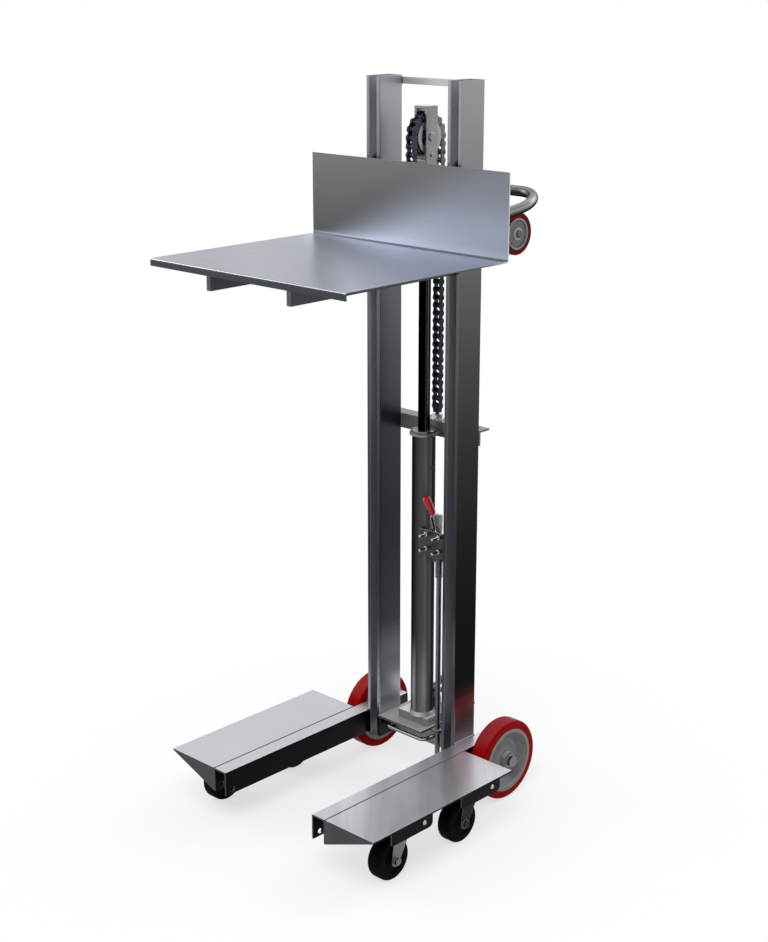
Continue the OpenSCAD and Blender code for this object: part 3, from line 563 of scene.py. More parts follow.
def column_finish(name: str, right: Stops, lips: Stops, slot: Stops, wall: float, rim: float) -> Steel:
    """Finish of one column.

    Args:
        name: Name of the material.
        right: Painted light and shade of the faces that look to the right, from foot to top.
        lips: Painted light and shade of the lips in front.
        slot: Tones inside the slot, painted lighter than the shade that lies there.
        wall: Place across the truck from which faces to the right lie in the slot.
        rim: Tint of the reflections at a grazing angle.

    Returns:
        The finish.
    """
    fields = (
        plain(60),
        Field(right, Facing.RIGHT),
        # Painted light inside the slot, which lies in shade; these faces don't shine.
        Field(slot, Facing.RIGHT, side=(ACROSS, wall, wall - 0.005), dull=True),
        Field(lips, Facing.FRONT),
        Field(slot, Facing.FRONT, side=(BACKWARDS, 0.18, 0.19), dull=True),
        face(Facing.UP, 150),
    )
    return Steel(name, fields, Grain.ALONG_Z, marks=0.035, edge=104, bevel_or_scuff=0.001, rim=rim)


def sheet_finishes() -> tuple[Steel, ...]:
    """Finishes of the deck and the legs, with painted light, shade and reflections.

    Returns:
        The finishes.
    """
    # Painted reflection of the backrest and painted light on the deck top, in bands across the view.
    top = (
        (-0.62, (162, 165, 174)), (-0.5, (152, 155, 164)), (-0.36, (160, 164, 174)), (-0.24, (153, 157, 168)),
        (-0.19, (158, 163, 175)), (-0.12, (204, 210, 226)), (-0.08, (208, 214, 230)), (-0.03, (205, 212, 228)),
        (0.05, (180, 186, 203)), (0.12, (160, 166, 182)), (0.35, (148, 154, 170)),
    )  # fmt: skip
    # Painted shade on the backrest's front, with a painted light line at its foot.
    shade = (
        (1.376, 150), (1.38, 140), (1.385, 91), (1.46, 98), (1.5, 103), (1.54, 108), (1.57, 111),
    )  # fmt: skip
    # Painted reflection of the white surround on the right part of the backrest's front, brightest at its foot.
    sky = (
        (1.376, (200, 207, 221)), (1.4, (172, 178, 193)), (1.42, (165, 171, 186)), (1.46, (154, 160, 174)),
        (1.5, (138, 142, 153)), (1.54, (129, 132, 140)), (1.57, (126, 128, 135)),
    )  # fmt: skip
    # Painted light on the deck's right-facing edges, darker in front.
    side = ((-0.39, 77), (0.0, 86), (0.05, 102), (0.09, 155), (0.112, 205))
    # A painted highlight along the top of the front lip, and painted shade along the backrest's bend.
    lip_highlight = ((UPWARDS, 1.3732, 1.3738), (BACKWARDS, -0.3968, 0.006))
    bend_shade = ((UPWARDS, 1.3795, 1.3785), (BACKWARDS, 0.112, 0.0045))
    fields = (
        plain(120),
        Field(top, Facing.UP, SWEEP),
        Field(shade, Facing.FRONT),
        Field(sky, Facing.FRONT, side=((1.0, 0.0, -1.85), -2.857, -2.577)),
        # Painted shade on the front of the lip and under the deck.
        face(Facing.FRONT, (69, 71, 77), side=(BACKWARDS, -0.38, -0.39)),
        face(Facing.FRONT, (236, 240, 248), side=lip_highlight[0], band=lip_highlight[1]),
        plain((104, 108, 118), side=bend_shade[0], band=bend_shade[1]),
        Field(side, Facing.RIGHT, BACKWARDS),
        face(Facing.DOWN, 96),
    )
    # Painted light and reflection along the right leg's top, lighter towards the rear.
    leg_top = ((-0.36, 197), (-0.25, 208), (-0.12, 218), (0.0, 220), (0.12, 215))
    return (
        Steel("deck_sheet", fields, Grain.ALONG_X, 0.33, 0.022),
        leg_finish("leg_sheet_left", ((0.0, 197),), (-0.189, 120), 0.0),
        leg_finish("leg_sheet_right", leg_top, (0.189, 52), 0.08),
    )


def column_finishes() -> tuple[Steel, ...]:
    """Finishes of both columns, with painted light at the top and painted shade towards the foot.

    Returns:
        The finishes.
    """
    # The right column carries a painted reflection of the red tyre at its foot.
    right = (
        (0.1, 120), (0.17, (125, 112, 122)), (0.2, (146, 120, 128)), (0.25, (102, 50, 51)),
        (0.275, (58, 29, 32)), (0.3, 24), (0.4, 23), (0.5, 26), (0.6, 32), (0.7, 38), (0.8, 46), (0.9, 53),
        (1.0, 63), (1.1, 73), (1.2, 84), (1.3, 95), (1.5, 128), (1.65, 139), (1.75, 149),
    )  # fmt: skip
    right_lips = (
        (0.1, 95), (0.2, 85), (0.25, 80), (0.3, 78), (0.4, 82), (0.5, 52), (0.6, 53), (0.7, 54), (0.8, 65),
        (0.9, 70), (1.0, 74), (1.1, 88), (1.2, 92), (1.3, 103), (1.6, 138), (1.75, 146),
    )  # fmt: skip
    right_slot = (
        (0.1, 100), (0.17, 88), (0.2, 112), (0.25, 142), (0.4, 136), (0.5, 118), (0.6, 106), (0.8, 108),
        (0.9, 116), (1.0, 126), (1.1, 145), (1.2, 168), (1.3, 180), (1.6, 161), (1.75, 142),
    )  # fmt: skip
    left = (
        (0.1, 40), (0.15, 46), (0.158, 190), (0.2, 190), (0.25, 142), (0.3, 107), (0.4, 58), (0.5, 52),
        (0.6, 46), (0.7, 46), (0.8, 52), (0.9, 58), (1.0, 70), (1.1, 80), (1.2, 91), (1.3, 100), (1.5, 138),
        (1.65, 145), (1.75, 160),
    )  # fmt: skip
    left_lips = (
        (0.1, 34), (0.15, 44), (0.158, 158), (0.2, 147), (0.25, 139), (0.3, 103), (0.4, 64), (0.5, 54),
        (0.6, 50), (0.7, 58), (0.8, 64), (0.9, 71), (1.0, 77), (1.1, 90), (1.2, 100), (1.6, 118), (1.75, 134),
    )  # fmt: skip
    left_slot = (
        (0.1, 90), (0.17, 94), (0.2, 120), (0.25, 142), (0.4, 122), (0.5, 112), (0.6, 112), (0.8, 122),
        (0.9, 142), (1.0, 178), (1.1, 196), (1.2, 208), (1.3, 180), (1.6, 155), (1.75, 134),
    )  # fmt: skip
    right_bar = (right, cooler(right_lips, -1, 5), cooler(right_slot, 3, 8))
    left_bar = (cooler(left, 1, 6), cooler(left_lips, 2, 8), cooler(left_slot, 1, 9))
    return (
        column_finish("column_bar_right", *right_bar, 0.125, 0.62),
        column_finish("column_bar_left", *left_bar, -0.125, 1.0),
    )


def bar_finishes() -> tuple[Steel, ...]:
    """Finishes of cross bars, plates, castings, plated parts and the chain, with light and shade painted by the way
    faces look.

    Returns:
        The finishes.
    """
    # Painted light across the tops of the base and the pump, along the pump's side and on the front of the yoke's
    # top block; painted shade under the base.
    base_top = ((-0.104, 142), (-0.04, 156), (0.044, 168))
    pump_top = ((-0.06, 206), (0.0, 196), (0.037, 178))
    pump_side = ((0.156, 150), (0.2, 110), (0.257, 70))
    base = (plain(76), Field(base_top, Facing.UP, ACROSS), face(Facing.DOWN, 12))
    yoke = (*faces(84, right=138, front=128, up=225), face(Facing.FRONT, 212, side=(UPWARDS, 1.5715, 1.5712)))
    pump = (
        plain(100),
        Field(pump_top, Facing.UP, ACROSS),
        face(Facing.FRONT, 116),
        Field(pump_side, Facing.RIGHT, BACKWARDS),
    )
    # Painted shade on the rear forks, darker than the front ones.
    rear_shade = Field(((-0.16, 112), (-0.08, 36)), along=BACKWARDS)
    fork = (plain(112), rear_shade, face(Facing.FRONT, 46), face(Facing.UP, 150))
    lock = faces(60, front=66, up=176, right=108)
    # Painted light and shade on the chain: the rear run is a shaded copy, lighter near the top; the front run and
    # the links over the wheel are a lit copy, lightest towards the rear.
    rear = (*faces((34, 38, 46), right=(42, 46, 56)), plain(98, side=(UPWARDS, 1.5, 1.54)))
    clad = (*faces((46, 50, 60), right=(66, 70, 82)), plain(108, side=(BACKWARDS, 0.2, 0.212)))
    anchor = (plain((40, 42, 48)), plain(215, side=(UPWARDS, 0.9535, 0.953)))
    return (
        # Tops and fronts carry painted light and undersides painted shade, part by part.
        Steel("top_bar", faces(90, front=176, up=205), Grain.ALONG_X, metal=0.5),
        Steel("cross_bar", faces(86, front=124, up=132, down=16), Grain.ALONG_X, metal=0.35, edge=130),
        Steel("base_plate", base, metal=0.3, edge=160),
        Steel("arm_plate", faces(68, front=90, down=30), Grain.ALONG_Y),
        Steel("yoke_strap", yoke, edge=205),
        Steel("weld_bead", faces(112, up=150), rough=0.42, marks=0.12),
        Steel("bright_zinc", faces(112, up=150, front=88), rough=0.3, edge=190),
        Steel("pump_casting", pump, rough=0.42, metal=0.2, edge=190),
        # Painted shade: the channels under the wings are near black, with lighter tops.
        Steel("mount_channel", faces(9, up=120, front=20), rough=0.4, edge=64, rim=0.0),
        Steel("fork_plate", fork, edge=150),
        Steel("bolt_head", faces(168, down=80), rough=0.25, edge=225),
        Steel("axle_end", faces(116, down=60), rough=0.3, edge=205),
        Steel("lock_casting", lock, rough=0.36, edge=176),
        Steel("lock_lever", faces(118, right=150), rough=0.3, edge=225),
        Steel("gland_ring", faces(110, up=150), rough=0.3, edge=200),
        Steel("machined_steel", faces(128), rough=0.3, edge=170),
        Steel("chain_wheel", faces(104, right=150), rough=0.3, edge=205),
        Steel("chain_steel", rear, edge=118, bevel_or_scuff=0.0006),
        Steel("chain_lit", clad, edge=150, bevel_or_scuff=0.0007),
        Steel("chain_anchor", anchor, edge=200),
    )


def round_finishes() -> tuple[Steel, ...]:
    """Finishes of tubes and rods, with a painted highlight and painted shade round their axis.

    Returns:
        The finishes.
    """
    tube = (
        (-1.0, 40), (-0.75, 48), (-0.45, 62), (-0.15, 92), (0.1, 140), (0.35, 152), (0.6, 118), (0.8, 150),
        (0.92, 182), (1.0, 172),
    )  # fmt: skip
    shaft = (
        (-1.0, 6), (-0.85, 1), (0.18, 1), (0.24, 150), (0.5, 138), (0.64, 50), (0.72, 2), (1.0, 0),
    )  # fmt: skip
    barrel = (
        (-1.0, 10), (-0.87, 24), (-0.707, 45), (-0.5, 60), (-0.26, 72), (0.0, 79), (0.26, 108), (0.5, 112),
        (0.62, 92), (0.707, 46), (0.8, 8), (1.0, 0),
    )  # fmt: skip
    foot = (
        (-1.0, 80), (-0.87, 120), (-0.707, 150), (-0.56, 70), (-0.26, 96), (0.0, 132), (0.26, 158), (0.5, 120),
        (0.707, 48), (0.8, 12), (1.0, 2),
    )  # fmt: skip
    lock = ((-1.0, 60), (0.4, 84), (0.75, 124), (0.95, 108), (1.0, 84))
    cylinder = (
        Field(barrel, along=SLANT, round=True),
        # Lower down the cylinder gets a painted highlight and shade of its own, and it is lighter below 0.1885 m.
        Field(foot, along=SLANT, round=True, side=(UPWARDS, 0.42, 0.24)),
        plain(190, side=(UPWARDS, 0.1886, 0.1884)),
    )
    return (
        Steel("polished_tube", (Field(tube, round=True),), None, 0.36, 0.09, gain=0.92, rim=0.2),
        Steel("guard_bar", (Field(tube, round=True),), None, 0.3, 0.03, gain=1.5),
        Steel("lock_rod", (Field(lock, along=(0.5, -0.86, 0.0), round=True),), rough=0.3),
        Steel("cylinder_satin", cylinder, Grain.ALONG_Z, 0.4, 0.04, metal=0.7, edge=150, rim=0.0),
        Steel("rod_chrome", (Field(shaft, along=SLANT, round=True),), None, 0.12, 0.02, rim=0.0),
    )


def moulded_finishes() -> tuple[Moulded, ...]:
    """Finishes of the tyres, hubs and the grip.

    Returns:
        The finishes.
    """
    # The tops of the tread and of the hub are painted lighter, as light falls on them.
    tread = faces((136, 8, 14), up=(140, 44, 48), right=(126, 6, 12))
    load = (0.346, 1.3933)
    small = (
        plain((84, 12, 16)),
        plain(152, disc=(*load, 0.0373)),
        plain(118, disc=(*load, 0.034)),
        plain(170, disc=(*load, 0.015)),
    )
    axle = (0.2386, 0.1016)
    hub = (
        plain((124, 119, 116)),
        plain(105, disc=(*axle, 0.0705)),
        plain(120, disc=(*axle, 0.052)),
        plain(110, disc=(*axle, 0.026)),
        face(Facing.UP, 140),
    )
    return (
        Moulded("caster_rubber", faces(19, right=20), 0.6, 32, shine=0.02),
        Moulded("red_tread", tread, 0.42, (146, 24, 30), 0.08, shine=0.03),
        Moulded("small_red_tread", small, 0.34, (92, 26, 30), 0.08, shine=0.06),
        Moulded("hub_grey", hub, 0.44, 134, 0.05),
        Moulded("grip_red", faces((160, 18, 22)), 0.3, (178, 34, 36), 0.05, 0.3, 0.3),
    )


def make_palette() -> Palette:
    """Make every finish of the truck.

    Returns:
        The materials by name.
    """
    groups = (sheet_finishes, column_finishes, bar_finishes, round_finishes, moulded_finishes)
    return {finish.name: finish.build() for group in groups for finish in group()}


# Repeated details

SHARP = math.radians(32.0)  # angle above which an edge stays sharp


@dataclass(frozen=True)
class Run:
    """Copies of one small mesh set along a path by Geometry Nodes.

    Args:
        name: Name of the finished piece.
        path: Points that the copies follow, in metres.
        count: Number of copies.
        spread: Random share by which copies differ in size.
        seed: Seed of the random sizes.
    """

    name: str
    path: Sequence[Point]
    count: int
    spread: float = 0.0
    seed: int = 7

    SOCKETS: ClassVar[dict[str, str]] = {
        "Path": "NodeSocketGeometry",
        "Piece": "NodeSocketObject",
        "Count": "NodeSocketInt",
        "Spread": "NodeSocketFloat",
        "Seed": "NodeSocketInt",
        "Finish": "NodeSocketMaterial",
    }

    def _group(self) -> bpy.types.NodeTree:
        """Build the node group that sets the copies.

        Returns:
            The group, with an input for each of SOCKETS.
        """
        group = bpy.data.node_groups.new(self.name, "GeometryNodeTree")
        for label, kind in self.SOCKETS.items():
            group.interface.new_socket(label, in_out="INPUT", socket_type=kind)
        group.interface.new_socket("Geometry", in_out="OUTPUT", socket_type="NodeSocketGeometry")
        tree = Tree(group)
        given = {label: tree.add("NodeGroupInput", output=label) for label in self.SOCKETS}
        curve = tree.add("GeometryNodeMeshToCurve", inputs={0: given["Path"]})
        points = tree.add("GeometryNodeResampleCurve", inputs={0: curve, "Count": given["Count"]})
        along = tree.add("GeometryNodeInputTangent")
        turn = tree.add("FunctionNodeAlignRotationToVector", {"axis": "Z"}, {"Vector": along})
        piece = tree.add("GeometryNodeObjectInfo", inputs={"Object": given["Piece"]}, output="Geometry")
        limits = {2: 1 - given["Spread"], 3: 1 + given["Spread"], "Seed": given["Seed"]}
        size = tree.add("FunctionNodeRandomValue", {"data_type": "FLOAT"}, limits, 1)
        copy = {"Points": points, "Instance": piece, "Rotation": turn, "Scale": size}
        copies = tree.add("GeometryNodeInstanceOnPoints", inputs=copy)
        real = tree.add("GeometryNodeRealizeInstances", inputs={0: copies})
        clad = tree.add("GeometryNodeSetMaterial", inputs={0: real, "Material": given["Finish"]})
        tree.add("NodeGroupOutput", inputs={0: clad})
        return group

    def build(self, piece: bpy.types.Mesh, finish: Material, body: str) -> bpy.types.Object:
        """Make the copies into one plain mesh that rides on a body.

        Args:
            piece: Mesh of one copy; its Z axis is laid along the path.
            finish: Material of the copies.
            body: Body that the copies ride on; empty leaves that to the caller.

        Returns:
            The finished object.
        """
        line = bpy.data.meshes.new(f"{self.name}_path")
        line.from_pydata(list(self.path), [(i, i + 1) for i in range(len(self.path) - 1)], [])
        holder = bpy.data.objects.new(self.name, line)
        bpy.context.scene.collection.objects.link(holder)
        pattern = bpy.data.objects.new(f"{self.name}_piece", piece)
        group = self._group()
        modifier = holder.modifiers.new("run", "NODES")
        modifier.node_group = group
        values = {"Piece": pattern, "Count": self.count, "Spread": self.spread, "Seed": self.seed, "Finish": finish}
        for item in group.interface.items_tree:
            if item.in_out == "INPUT" and item.name in values:
                modifier[item.identifier] = values[item.name]
        done = holder.evaluated_get(bpy.context.evaluated_depsgraph_get())
        mesh = bpy.data.meshes.new_from_object(done)
        holder.modifiers.clear()
        holder.data = mesh
        mesh.name = self.name
        bpy.data.objects.remove(pattern)
        bpy.data.node_groups.remove(group)
        log.info("%s: %d copies, %d faces", self.name, self.count, len(mesh.polygons))
        if body:
            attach(holder, body)
        return holder


def solid_of(name: str, build: Callable[[Work], None]) -> bpy.types.Mesh:
    """Make a mesh with bmesh, shaded smooth but for its sharp edges.

    Args:
        name: Name of the mesh.
        build: Function that fills an empty bmesh.

    Returns:
        The mesh.
    """
    work = bmesh.new()
    build(work)
    bmesh.ops.recalc_face_normals(work, faces=work.faces)
    mesh = bpy.data.meshes.new(name)
    work.to_mesh(mesh)
    work.free()
    mesh.shade_smooth()
    mesh.set_sharp_from_angle(angle=SHARP)
    return mesh


def lathe(work: Work, outline: Outline, at: Matrix, steps: int = 40) -> None:
    """Turn a closed outline of (radius, height) points about Z.

    Args:
        work: The bmesh that the faces go into.
        outline: Points of the outline, in order.
        at: Where the turned shape goes.
        steps: Number of steps round the circle.
    """
    rings = []
    for k in range(steps):
        a = 2 * math.pi * k / steps
        rings.append([work.verts.new(at @ Vector((r * math.cos(a), r * math.sin(a), h))) for r, h in outline])
    for k, ring in enumerate(rings):
        after = rings[(k + 1) % steps]
        for i in range(len(outline)):
            j = (i + 1) % len(outline)
            work.faces.new((ring[i], ring[j], after[j], after[i]))


def slab(work: Work, outline: Outline, x0: float, x1: float) -> None:
    """Draw a closed outline of (y, z) points out along X.

    Args:
        work: The bmesh that the faces go into.
        outline: Points of the outline, in order.
        x0: Where the slab starts.
        x1: Where it ends, past x0.
    """
    near = [work.verts.new((x0, y, z)) for y, z in outline]
    far = [work.verts.new((x1, y, z)) for y, z in outline]
    work.faces.new(near)
    work.faces.new(list(reversed(far)))
    for i in range(len(outline)):
        j = (i + 1) % len(outline)
        work.faces.new((near[j], near[i], far[i], far[j]))


@dataclass(frozen=True)
class ChainRun:
    """One vertical run of roller chain, in metres.

    Args:
        name: Name of the piece.
        y: Place of the run along the truck.
        top: Height of its upper pin.
        links: Number of links.
        outer_first: True where the upper link is an outer one.
        pitch: Distance between pins.
        plate: Height of a link plate.
        waist: Depth of a plate's waist.
        inner: Inside face of an inner plate, from the middle.
        outer: Inside face of an outer plate, from the middle.
        thick: Thickness of a plate.
        pin: Radius of a pin, of its flat end and of the hole left in it.
        proud: How far the end and the shoulder of a pin stand out.
        roller: Bore and outside radius of a roller.
    """

    name: str
    y: float
    top: float
    links: int
    outer_first: bool
    pitch: float = 0.01905
    plate: float = 0.0172
    waist: float = 0.0024
    inner: float = 0.0063
    outer: float = 0.0088
    thick: float = 0.0023
    pin: tuple[float, float, float] = (0.00295, 0.0024, 0.0002)
    proud: Pair = (0.0009, 0.0003)
    roller: Pair = (0.0031, 0.0059)

    @property
    def bottom(self) -> float:
        """Height of the lower pin."""
        return self.top - self.links * self.pitch

    def _outline(self, z: float) -> list[Pair]:
        """Waisted outline of a plate.

        Args:
            z: Height of its upper pin.

        Returns:
            Points of (y, z), in order.
        """
        r, low = self.plate / 2, z - self.pitch
        cut = math.asin((r - self.waist) / r)
        turns = [-cut + (math.pi + 2 * cut) * k / 12 for k in range(13)]
        ends = [(r * math.cos(a), r * math.sin(a)) for a in turns]
        return [(y, z + h) for y, h in ends] + [(-y, low - h) for y, h in ends]

    def _pair(self, work: Work) -> None:
        """Draw an inner and an outer link, centred on the pin between them.

        Args:
            work: The bmesh that the faces go into.
        """
        inner_z, outer_z = (0.0, self.pitch) if self.outer_first else (self.pitch, 0.0)
        for side in (-1, 1):
            for inside, z in ((self.inner, inner_z), (self.outer, outer_z)):
                a, b = sorted((side * inside, side * (inside + self.thick)))
                slab(work, self._outline(z), a, b)
        radius, flat, hole = self.pin
        end, shoulder = (self.outer + self.thick + out for out in self.proud)
        pin = [(hole, -end), (flat, -end), (radius, -shoulder)]
        bore, outside = self.roller
        roller = [(bore, -self.inner), (outside, -self.inner), (outside, self.inner), (bore, self.inner)]
        for z in (self.pitch, 0.0, -self.pitch):
            at = Matrix.Translation((0, 0, z)) @ Matrix.Rotation(math.pi / 2, 4, "Y")
            lathe(work, pin + [(r, -h) for r, h in reversed(pin)], at, 20)
            lathe(work, roller, at, 24)

    def build(self, finish: Material) -> bpy.types.Object:
        """Make the run of chain.

        Args:
            finish: Material of the chain.

        Returns:
            The run, riding on nothing yet.
        """
        pairs = self.links // 2
        high = self.top - self.pitch
        low = high - (pairs - 1) * 2 * self.pitch
        pair = solid_of(f"{self.name}_pair", self._pair)
        return Run(self.name, [(0, self.y, low), (0, self.y, high)], pairs).build(pair, finish, "")


@dataclass(frozen=True)
class LiftChain:
    """Both vertical runs of the lift chain.

    Args:
        axle: Height of the chain wheel's axle.
        rear: Place of the rear run along the truck.
        front: Place of the front run.
        links: Number of links of the rear and of the front run.
        stroke: Stroke of the ram.
    """

    axle: float = 1.6213
    rear: float = 0.22732
    front: float = 0.12968
    links: tuple[int, int] = (34, 4)
    stroke: float = 0.608

    def build(self, palette: Palette) -> None:
        """Make both runs in place of the imported strands and set the rear one on the frame.

        Args:
            palette: The finishes.
        """
        rear = ChainRun("chain_run_rear", self.rear, self.axle, self.links[0], False)
        run = rear.build(palette["chain_steel"])
        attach(run, "frame")
        keep = 1 - self.stroke / (self.axle - rear.bottom)
        rear.bottom
        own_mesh(run)
        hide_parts("chain_rear_strand")
        front = ChainRun("chain_run_front", self.front, self.axle, self.links[1], True)
        run = front.build(palette["chain_lit"])
        start, end = (0, self.front, self.axle), (0, self.front, front.bottom)
        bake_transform(run)
        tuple(start)
        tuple(end)
        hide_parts("chain_front_strand")


@dataclass(frozen=True)
class Weld:
    """A rippled fillet weld.

    Args:
        name: Name of the weld.
        path: Points along its root.
        leg: Radius of the bead.
        step: Distance between ripples, as a share of leg.
        flat: Length of a ripple, as a share of its width.
        spread: Random share by which ripples differ in size.
    """

    name: str
    path: Sequence[Point]
    leg: float = 0.0024
    step: float = 0.62
    flat: float = 0.75
    spread: float = 0.10

    def _ripple(self, work: Work) -> None:
        """Draw one flattened ball."""
        matrix = Matrix.Diagonal((1.0, 1.0, self.flat, 1.0))
        bmesh.ops.create_icosphere(work, subdivisions=2, radius=self.leg, matrix=matrix)

    def build(self, finish: Material) -> bpy.types.Object:
        """Make the bead from overlapping ripples.

        Args:
            finish: Material of the bead.

        Returns:
            The bead.
        """
        points = [Vector(p) for p in self.path]
        length = sum((b - a).length for a, b in zip(points, points[1:]))
        count = max(3, int(length / (self.leg * self.step)))
        run = Run(self.name, self.path, count, self.spread, len(self.name))
        bead = run.build(solid_of(f"{self.name}_ripple", self._ripple), finish, "frame")
        return bead


@dataclass(frozen=True)
class Details:
    """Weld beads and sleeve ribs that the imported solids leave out, in metres.

    Args:
        column_in: Inner face of a column, from the middle.
        column_out: Outer face of a column, from the middle.
        column_back: Y of the cross bars' welds.
        foot: Y of both ends of a foot weld.
        leg_top: Height of the leg tops.
        gap: Distance of a weld's root from the faces that it joins.
        bars: Lowest and highest point of the welds of each cross bar.
        bar_leg: Radius of those welds.
        sleeve: Place of the lock's sleeve along X and Y.
        sleeve_span: Lowest and highest rib of the sleeve.
        sleeve_radius: Radius of the sleeve.
        ribs: Number of ribs.
        rib_root: Depth of a rib's foot in the sleeve, and half its height.
        rib_top: How far a rib stands out, and half its height.
    """

    column_in: float = 0.104
    column_out: float = 0.1473
    column_back: float = 0.2104
    foot: Pair = (0.135, 0.209)
    leg_top: float = 0.1517
    gap: float = 0.0004
    bars: tuple[tuple[str, float, float], ...] = (("mid", 0.905, 0.938), ("top", 1.7352, 1.7492))
    bar_leg: float = 0.0018
    sleeve: Pair = (0.058, 0.173)
    sleeve_span: Pair = (0.561, 0.599)
    sleeve_radius: float = 0.0084
    ribs: int = 9
    rib_root: Pair = (0.0004, 0.0014)
    rib_top: Pair = (0.0009, 0.0007)

    def welds(self, finish: Material) -> None:
        """Lay the beads at the columns' feet and at both cross bars.

        Args:
            finish: Material of the beads.
        """
        for side, word in ((-1, "left"), (1, "right")):
            x, z = side * (self.column_out + self.gap), self.leg_top + self.gap
            Weld(f"weld_foot_{word}", [(x, y, z) for y in self.foot]).build(finish)
            x = side * (self.column_in - self.gap)
            for label, *heights in self.bars:
                path = [(x, self.column_back, z) for z in heights]
                Weld(f"weld_{label}_{word}", path, leg=self.bar_leg).build(finish)

    def _rib(self, work: Work) -> None:
        """Draw one rounded rib round the sleeve.

        Args:
            work: The bmesh that the faces go into.
        """
        (deep, foot), (out, half) = self.rib_root, self.rib_top
        root, top = self.sleeve_radius - deep, self.sleeve_radius + out
        lathe(work, [(root, -foot), (top, -half), (top, half), (root, foot)], Matrix())

    def build(self, palette: Palette) -> None:
        """Make every detail.

        Args:
            palette: The finishes.
        """
        self.welds(palette["weld_bead"])
        run = Run("sleeve_ribs", [(*self.sleeve, z) for z in self.sleeve_span], self.ribs)
        run.build(solid_of("sleeve_rib", self._rib), palette["bright_zinc"], "frame")


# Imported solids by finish; * stands for left and for right

WEARS = {
    "deck_sheet": "platform",
    "leg_sheet_left": "leg_channel_left wing_plate_left",
    "leg_sheet_right": "leg_channel_right wing_plate_right",
    "column_bar_left": "mast_column_left",
    "column_bar_right": "mast_column_right",
    "top_bar": "top_crossbar",
    "cross_bar": "mid_crossbar base_crossmember guide_plate chain_bracket load_wheel_bracket_* "
    "pump_pedal release_lever",
    "base_plate": "base_plate",
    "yoke_strap": "yoke",
    "arm_plate": "platform_arm_*",
    "polished_tube": "push_handle",
    "guard_bar": "guard_bar",
    "mount_channel": "caster_top_plates",
    "bolt_head": "frame_bolts",
    "axle_end": "rear_axle axle_nuts",
    "fork_plate": "caster_fork_front_* caster_fork_rear_*",
    "pump_casting": "pump_block",
    "lock_casting": "lock_base lock_bracket",
    "lock_lever": "lock_lever",
    "lock_rod": "lock_rod",
    "cylinder_satin": "cylinder_tube",
    "gland_ring": "gland_nut",
    "rod_chrome": "piston_rod pump_plunger",
    "chain_anchor": "chain_anchor",
    "chain_lit": "chain_over_wheel chain_front_strand",
    "chain_steel": "chain_rear_strand",
    "chain_wheel": "chain_wheel",
    "machined_steel": "mast_rollers_upper_* mast_rollers_lower_*",
    "caster_rubber": "caster_wheel_front_* caster_wheel_rear_*",
    "red_tread": "rear_tyre_*",
    "small_red_tread": "load_wheel_*",
    "hub_grey": "rear_hub_*",
    "grip_red": "lock_grip",
}


@dataclass(frozen=True)
class Dressing:
    """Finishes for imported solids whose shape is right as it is.

    Args:
        palette: The finishes.
        nodes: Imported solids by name.
    """

    palette: Palette
    nodes: dict[str, bpy.types.Object]

    def dress(self) -> None:
        """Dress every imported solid."""
        for finish, names in WEARS.items():
            for name, side in product(names.split(), ("left", "right")):
                node = self.nodes[name.replace("*", side)]
                node.data.materials.clear()
                node.data.materials.append(self.palette[finish])
            log.info("%s: %s", finish, names)


# Studio


@dataclass(frozen=True)
class Camera:
    """The photograph's camera, in metres and degrees.

    Args:
        place: Position of the lens.
        azimuth: Turn from +Y towards -X.
        pitch: Tilt below the horizon.
        lens: Focal length in millimetres.
        sensor: Width of the sensor in millimetres.
        clip: Nearest and farthest distance seen.
    """

    place: Point = (2.6291, -2.7512, 2.0039)
    azimuth: float = 43.31
    pitch: float = 16.77
    lens: float = 64.45
    sensor: float = 36.0
    clip: Pair = (0.05, 50.0)

    def build(self) -> None:
        """Make the camera and hand it to the scene."""
        data = bpy.data.cameras.new("camera")
        data.lens, data.sensor_width = self.lens, self.sensor
        data.clip_start, data.clip_end = self.clip
        camera = bpy.data.objects.new("camera", data)
        a, p = math.radians(self.azimuth), math.radians(self.pitch)
        look = Vector((-math.sin(a) * math.cos(p), math.cos(a) * math.cos(p), -math.sin(p)))
        camera.rotation_mode = "QUATERNION"
        camera.rotation_quaternion = look.to_track_quat("-Z", "Y")
        camera.location = self.place
        bpy.context.scene.collection.objects.link(camera)
        bpy.context.scene.camera = camera


@dataclass(frozen=True)
class Lamp:
    """A square soft lamp, in metres and watts.

    Args:
        name: Name of the lamp.
        place: Its position.
        aim: The point that it looks at.
        size: Side of the square.
        power: Its power.
        mirrored: Whether the metal shows the lamp.
    """

    name: str
    place: Point
    aim: Point
    size: float
    power: float
    mirrored: bool = True

    def build(self) -> None:
        """Make the lamp."""
        data = bpy.data.lights.new(self.name, "AREA")
        data.size, data.energy = self.size, self.power
        lamp = bpy.data.objects.new(self.name, data)
        lamp.location = self.place
        lamp.visible_glossy = self.mirrored
        lamp.rotation_mode = "QUATERNION"
        lamp.rotation_quaternion = (Vector(self.aim) - Vector(self.place)).to_track_quat("-Z", "Y")
        bpy.context.scene.collection.objects.link(lamp)


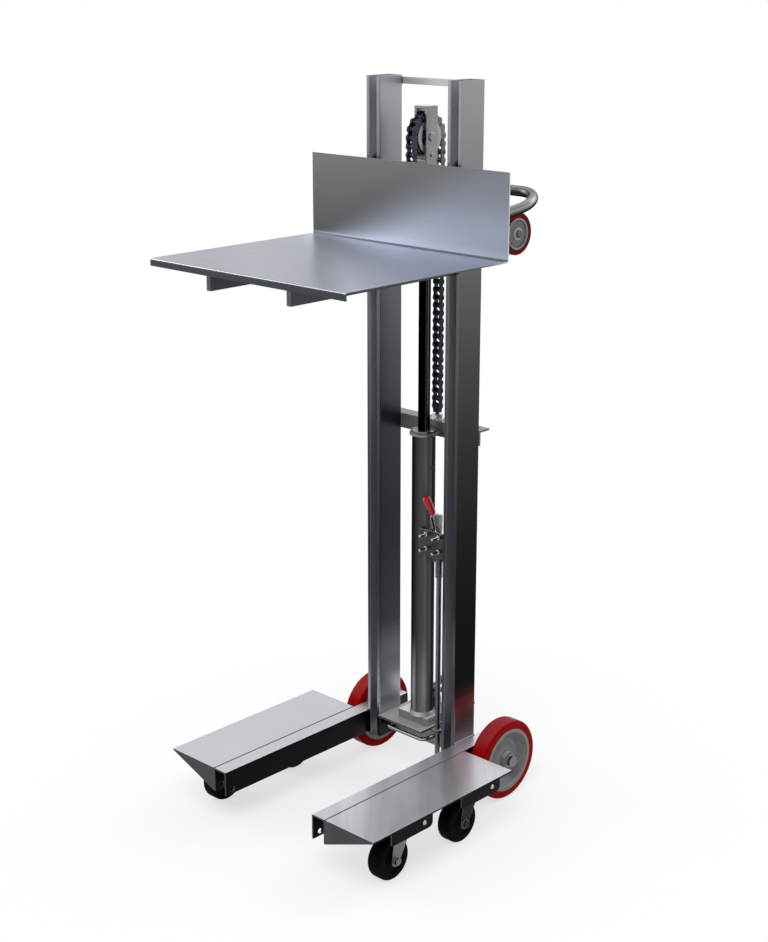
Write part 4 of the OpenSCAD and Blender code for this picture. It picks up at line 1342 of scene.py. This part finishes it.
@dataclass(frozen=True)
class Studio:
    """Pale floor, white surround and soft lamps.

    Args:
        lamps: The lamps.
        sky: Strength of the surround as a light.
        half: Half the side of the floor.
        tone: Colour value of the floor.
        rough: Roughness of the floor.
        shape: Scale along each axis of the distance from the truck.
        fade: Distances between which the floor turns white.
        white: Share of white on the floor at those distances.
    """

    lamps: tuple[Lamp, ...] = (
        Lamp("key", (1.6, -2.6, 4.2), (0.0, 0.0, 0.8), 2.4, 120.0, mirrored=False),
        Lamp("fill", (-3.4, -1.6, 2.6), (0.0, 0.0, 0.9), 2.2, 45.0),
        Lamp("rim", (1.0, 3.4, 3.4), (0.0, 0.0, 1.0), 2.0, 60.0),
    )
    sky: float = 0.55
    half: float = 9.0
    tone: float = 0.86
    rough: float = 0.95
    shape: Point = (1.0, 0.85, 1.0)
    fade: Pair = (0.35, 1.0)
    white: Pair = (0.66, 1.0)

    def surround(self) -> None:
        """White for the camera and for reflections, softer as a light."""
        world = bpy.data.worlds.new("surround")
        bpy.context.scene.world = world
        world.use_nodes = True
        tree = Tree(world.node_tree)
        level = tree.add("ShaderNodeMapRange", inputs={0: tree.seen(), 3: self.sky, 4: 1.0})
        back = tree.nodes["Background"]
        tree.put(back.inputs["Strength"], level)
        tree.put(back.inputs["Color"], (1.0, 1.0, 1.0))

    def floor(self) -> None:
        """A pale floor that keeps the truck's shadow and turns white away from it."""
        mesh = bpy.data.meshes.new("studio_floor")
        corners = ((-1, -1), (1, -1), (1, 1), (-1, 1))
        mesh.from_pydata([(x * self.half, y * self.half, 0.0) for x, y in corners], [], [(0, 1, 2, 3)])
        floor = bpy.data.objects.new("studio_floor", mesh)
        bpy.context.scene.collection.objects.link(floor)
        s = Shader("studio_floor")
        s.set(base_color=(self.tone, self.tone, self.tone), roughness=self.rough)
        share = s.span(s.measure("LENGTH", s.place(self.shape)), *self.fade, *self.white) * s.seen()
        halves = {0: share, 1: Value(s, s.surface.outputs[0]), 2: s.add("ShaderNodeEmission")}
        s.put(s.nodes["Material Output"].inputs["Surface"], s.add("ShaderNodeMixShader", inputs=halves))
        mesh.materials.append(s.material)

    def build(self) -> None:
        """Make the whole studio."""
        self.surround()
        self.floor()
        for lamp in self.lamps:
            lamp.build()
        bpy.context.scene.view_settings.view_transform = "Standard"


def main() -> None:
    """Dress the truck and light it."""
    logging.basicConfig(level=logging.INFO, format="%(name)s: %(message)s")
    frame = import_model()
    palette = make_palette()
    Dressing(palette, frame["nodes"]).dress()
    LiftChain().build(palette)
    Details().build(palette)
    Camera().build()
    Studio().build()


if __name__ == "__main__":
    main()
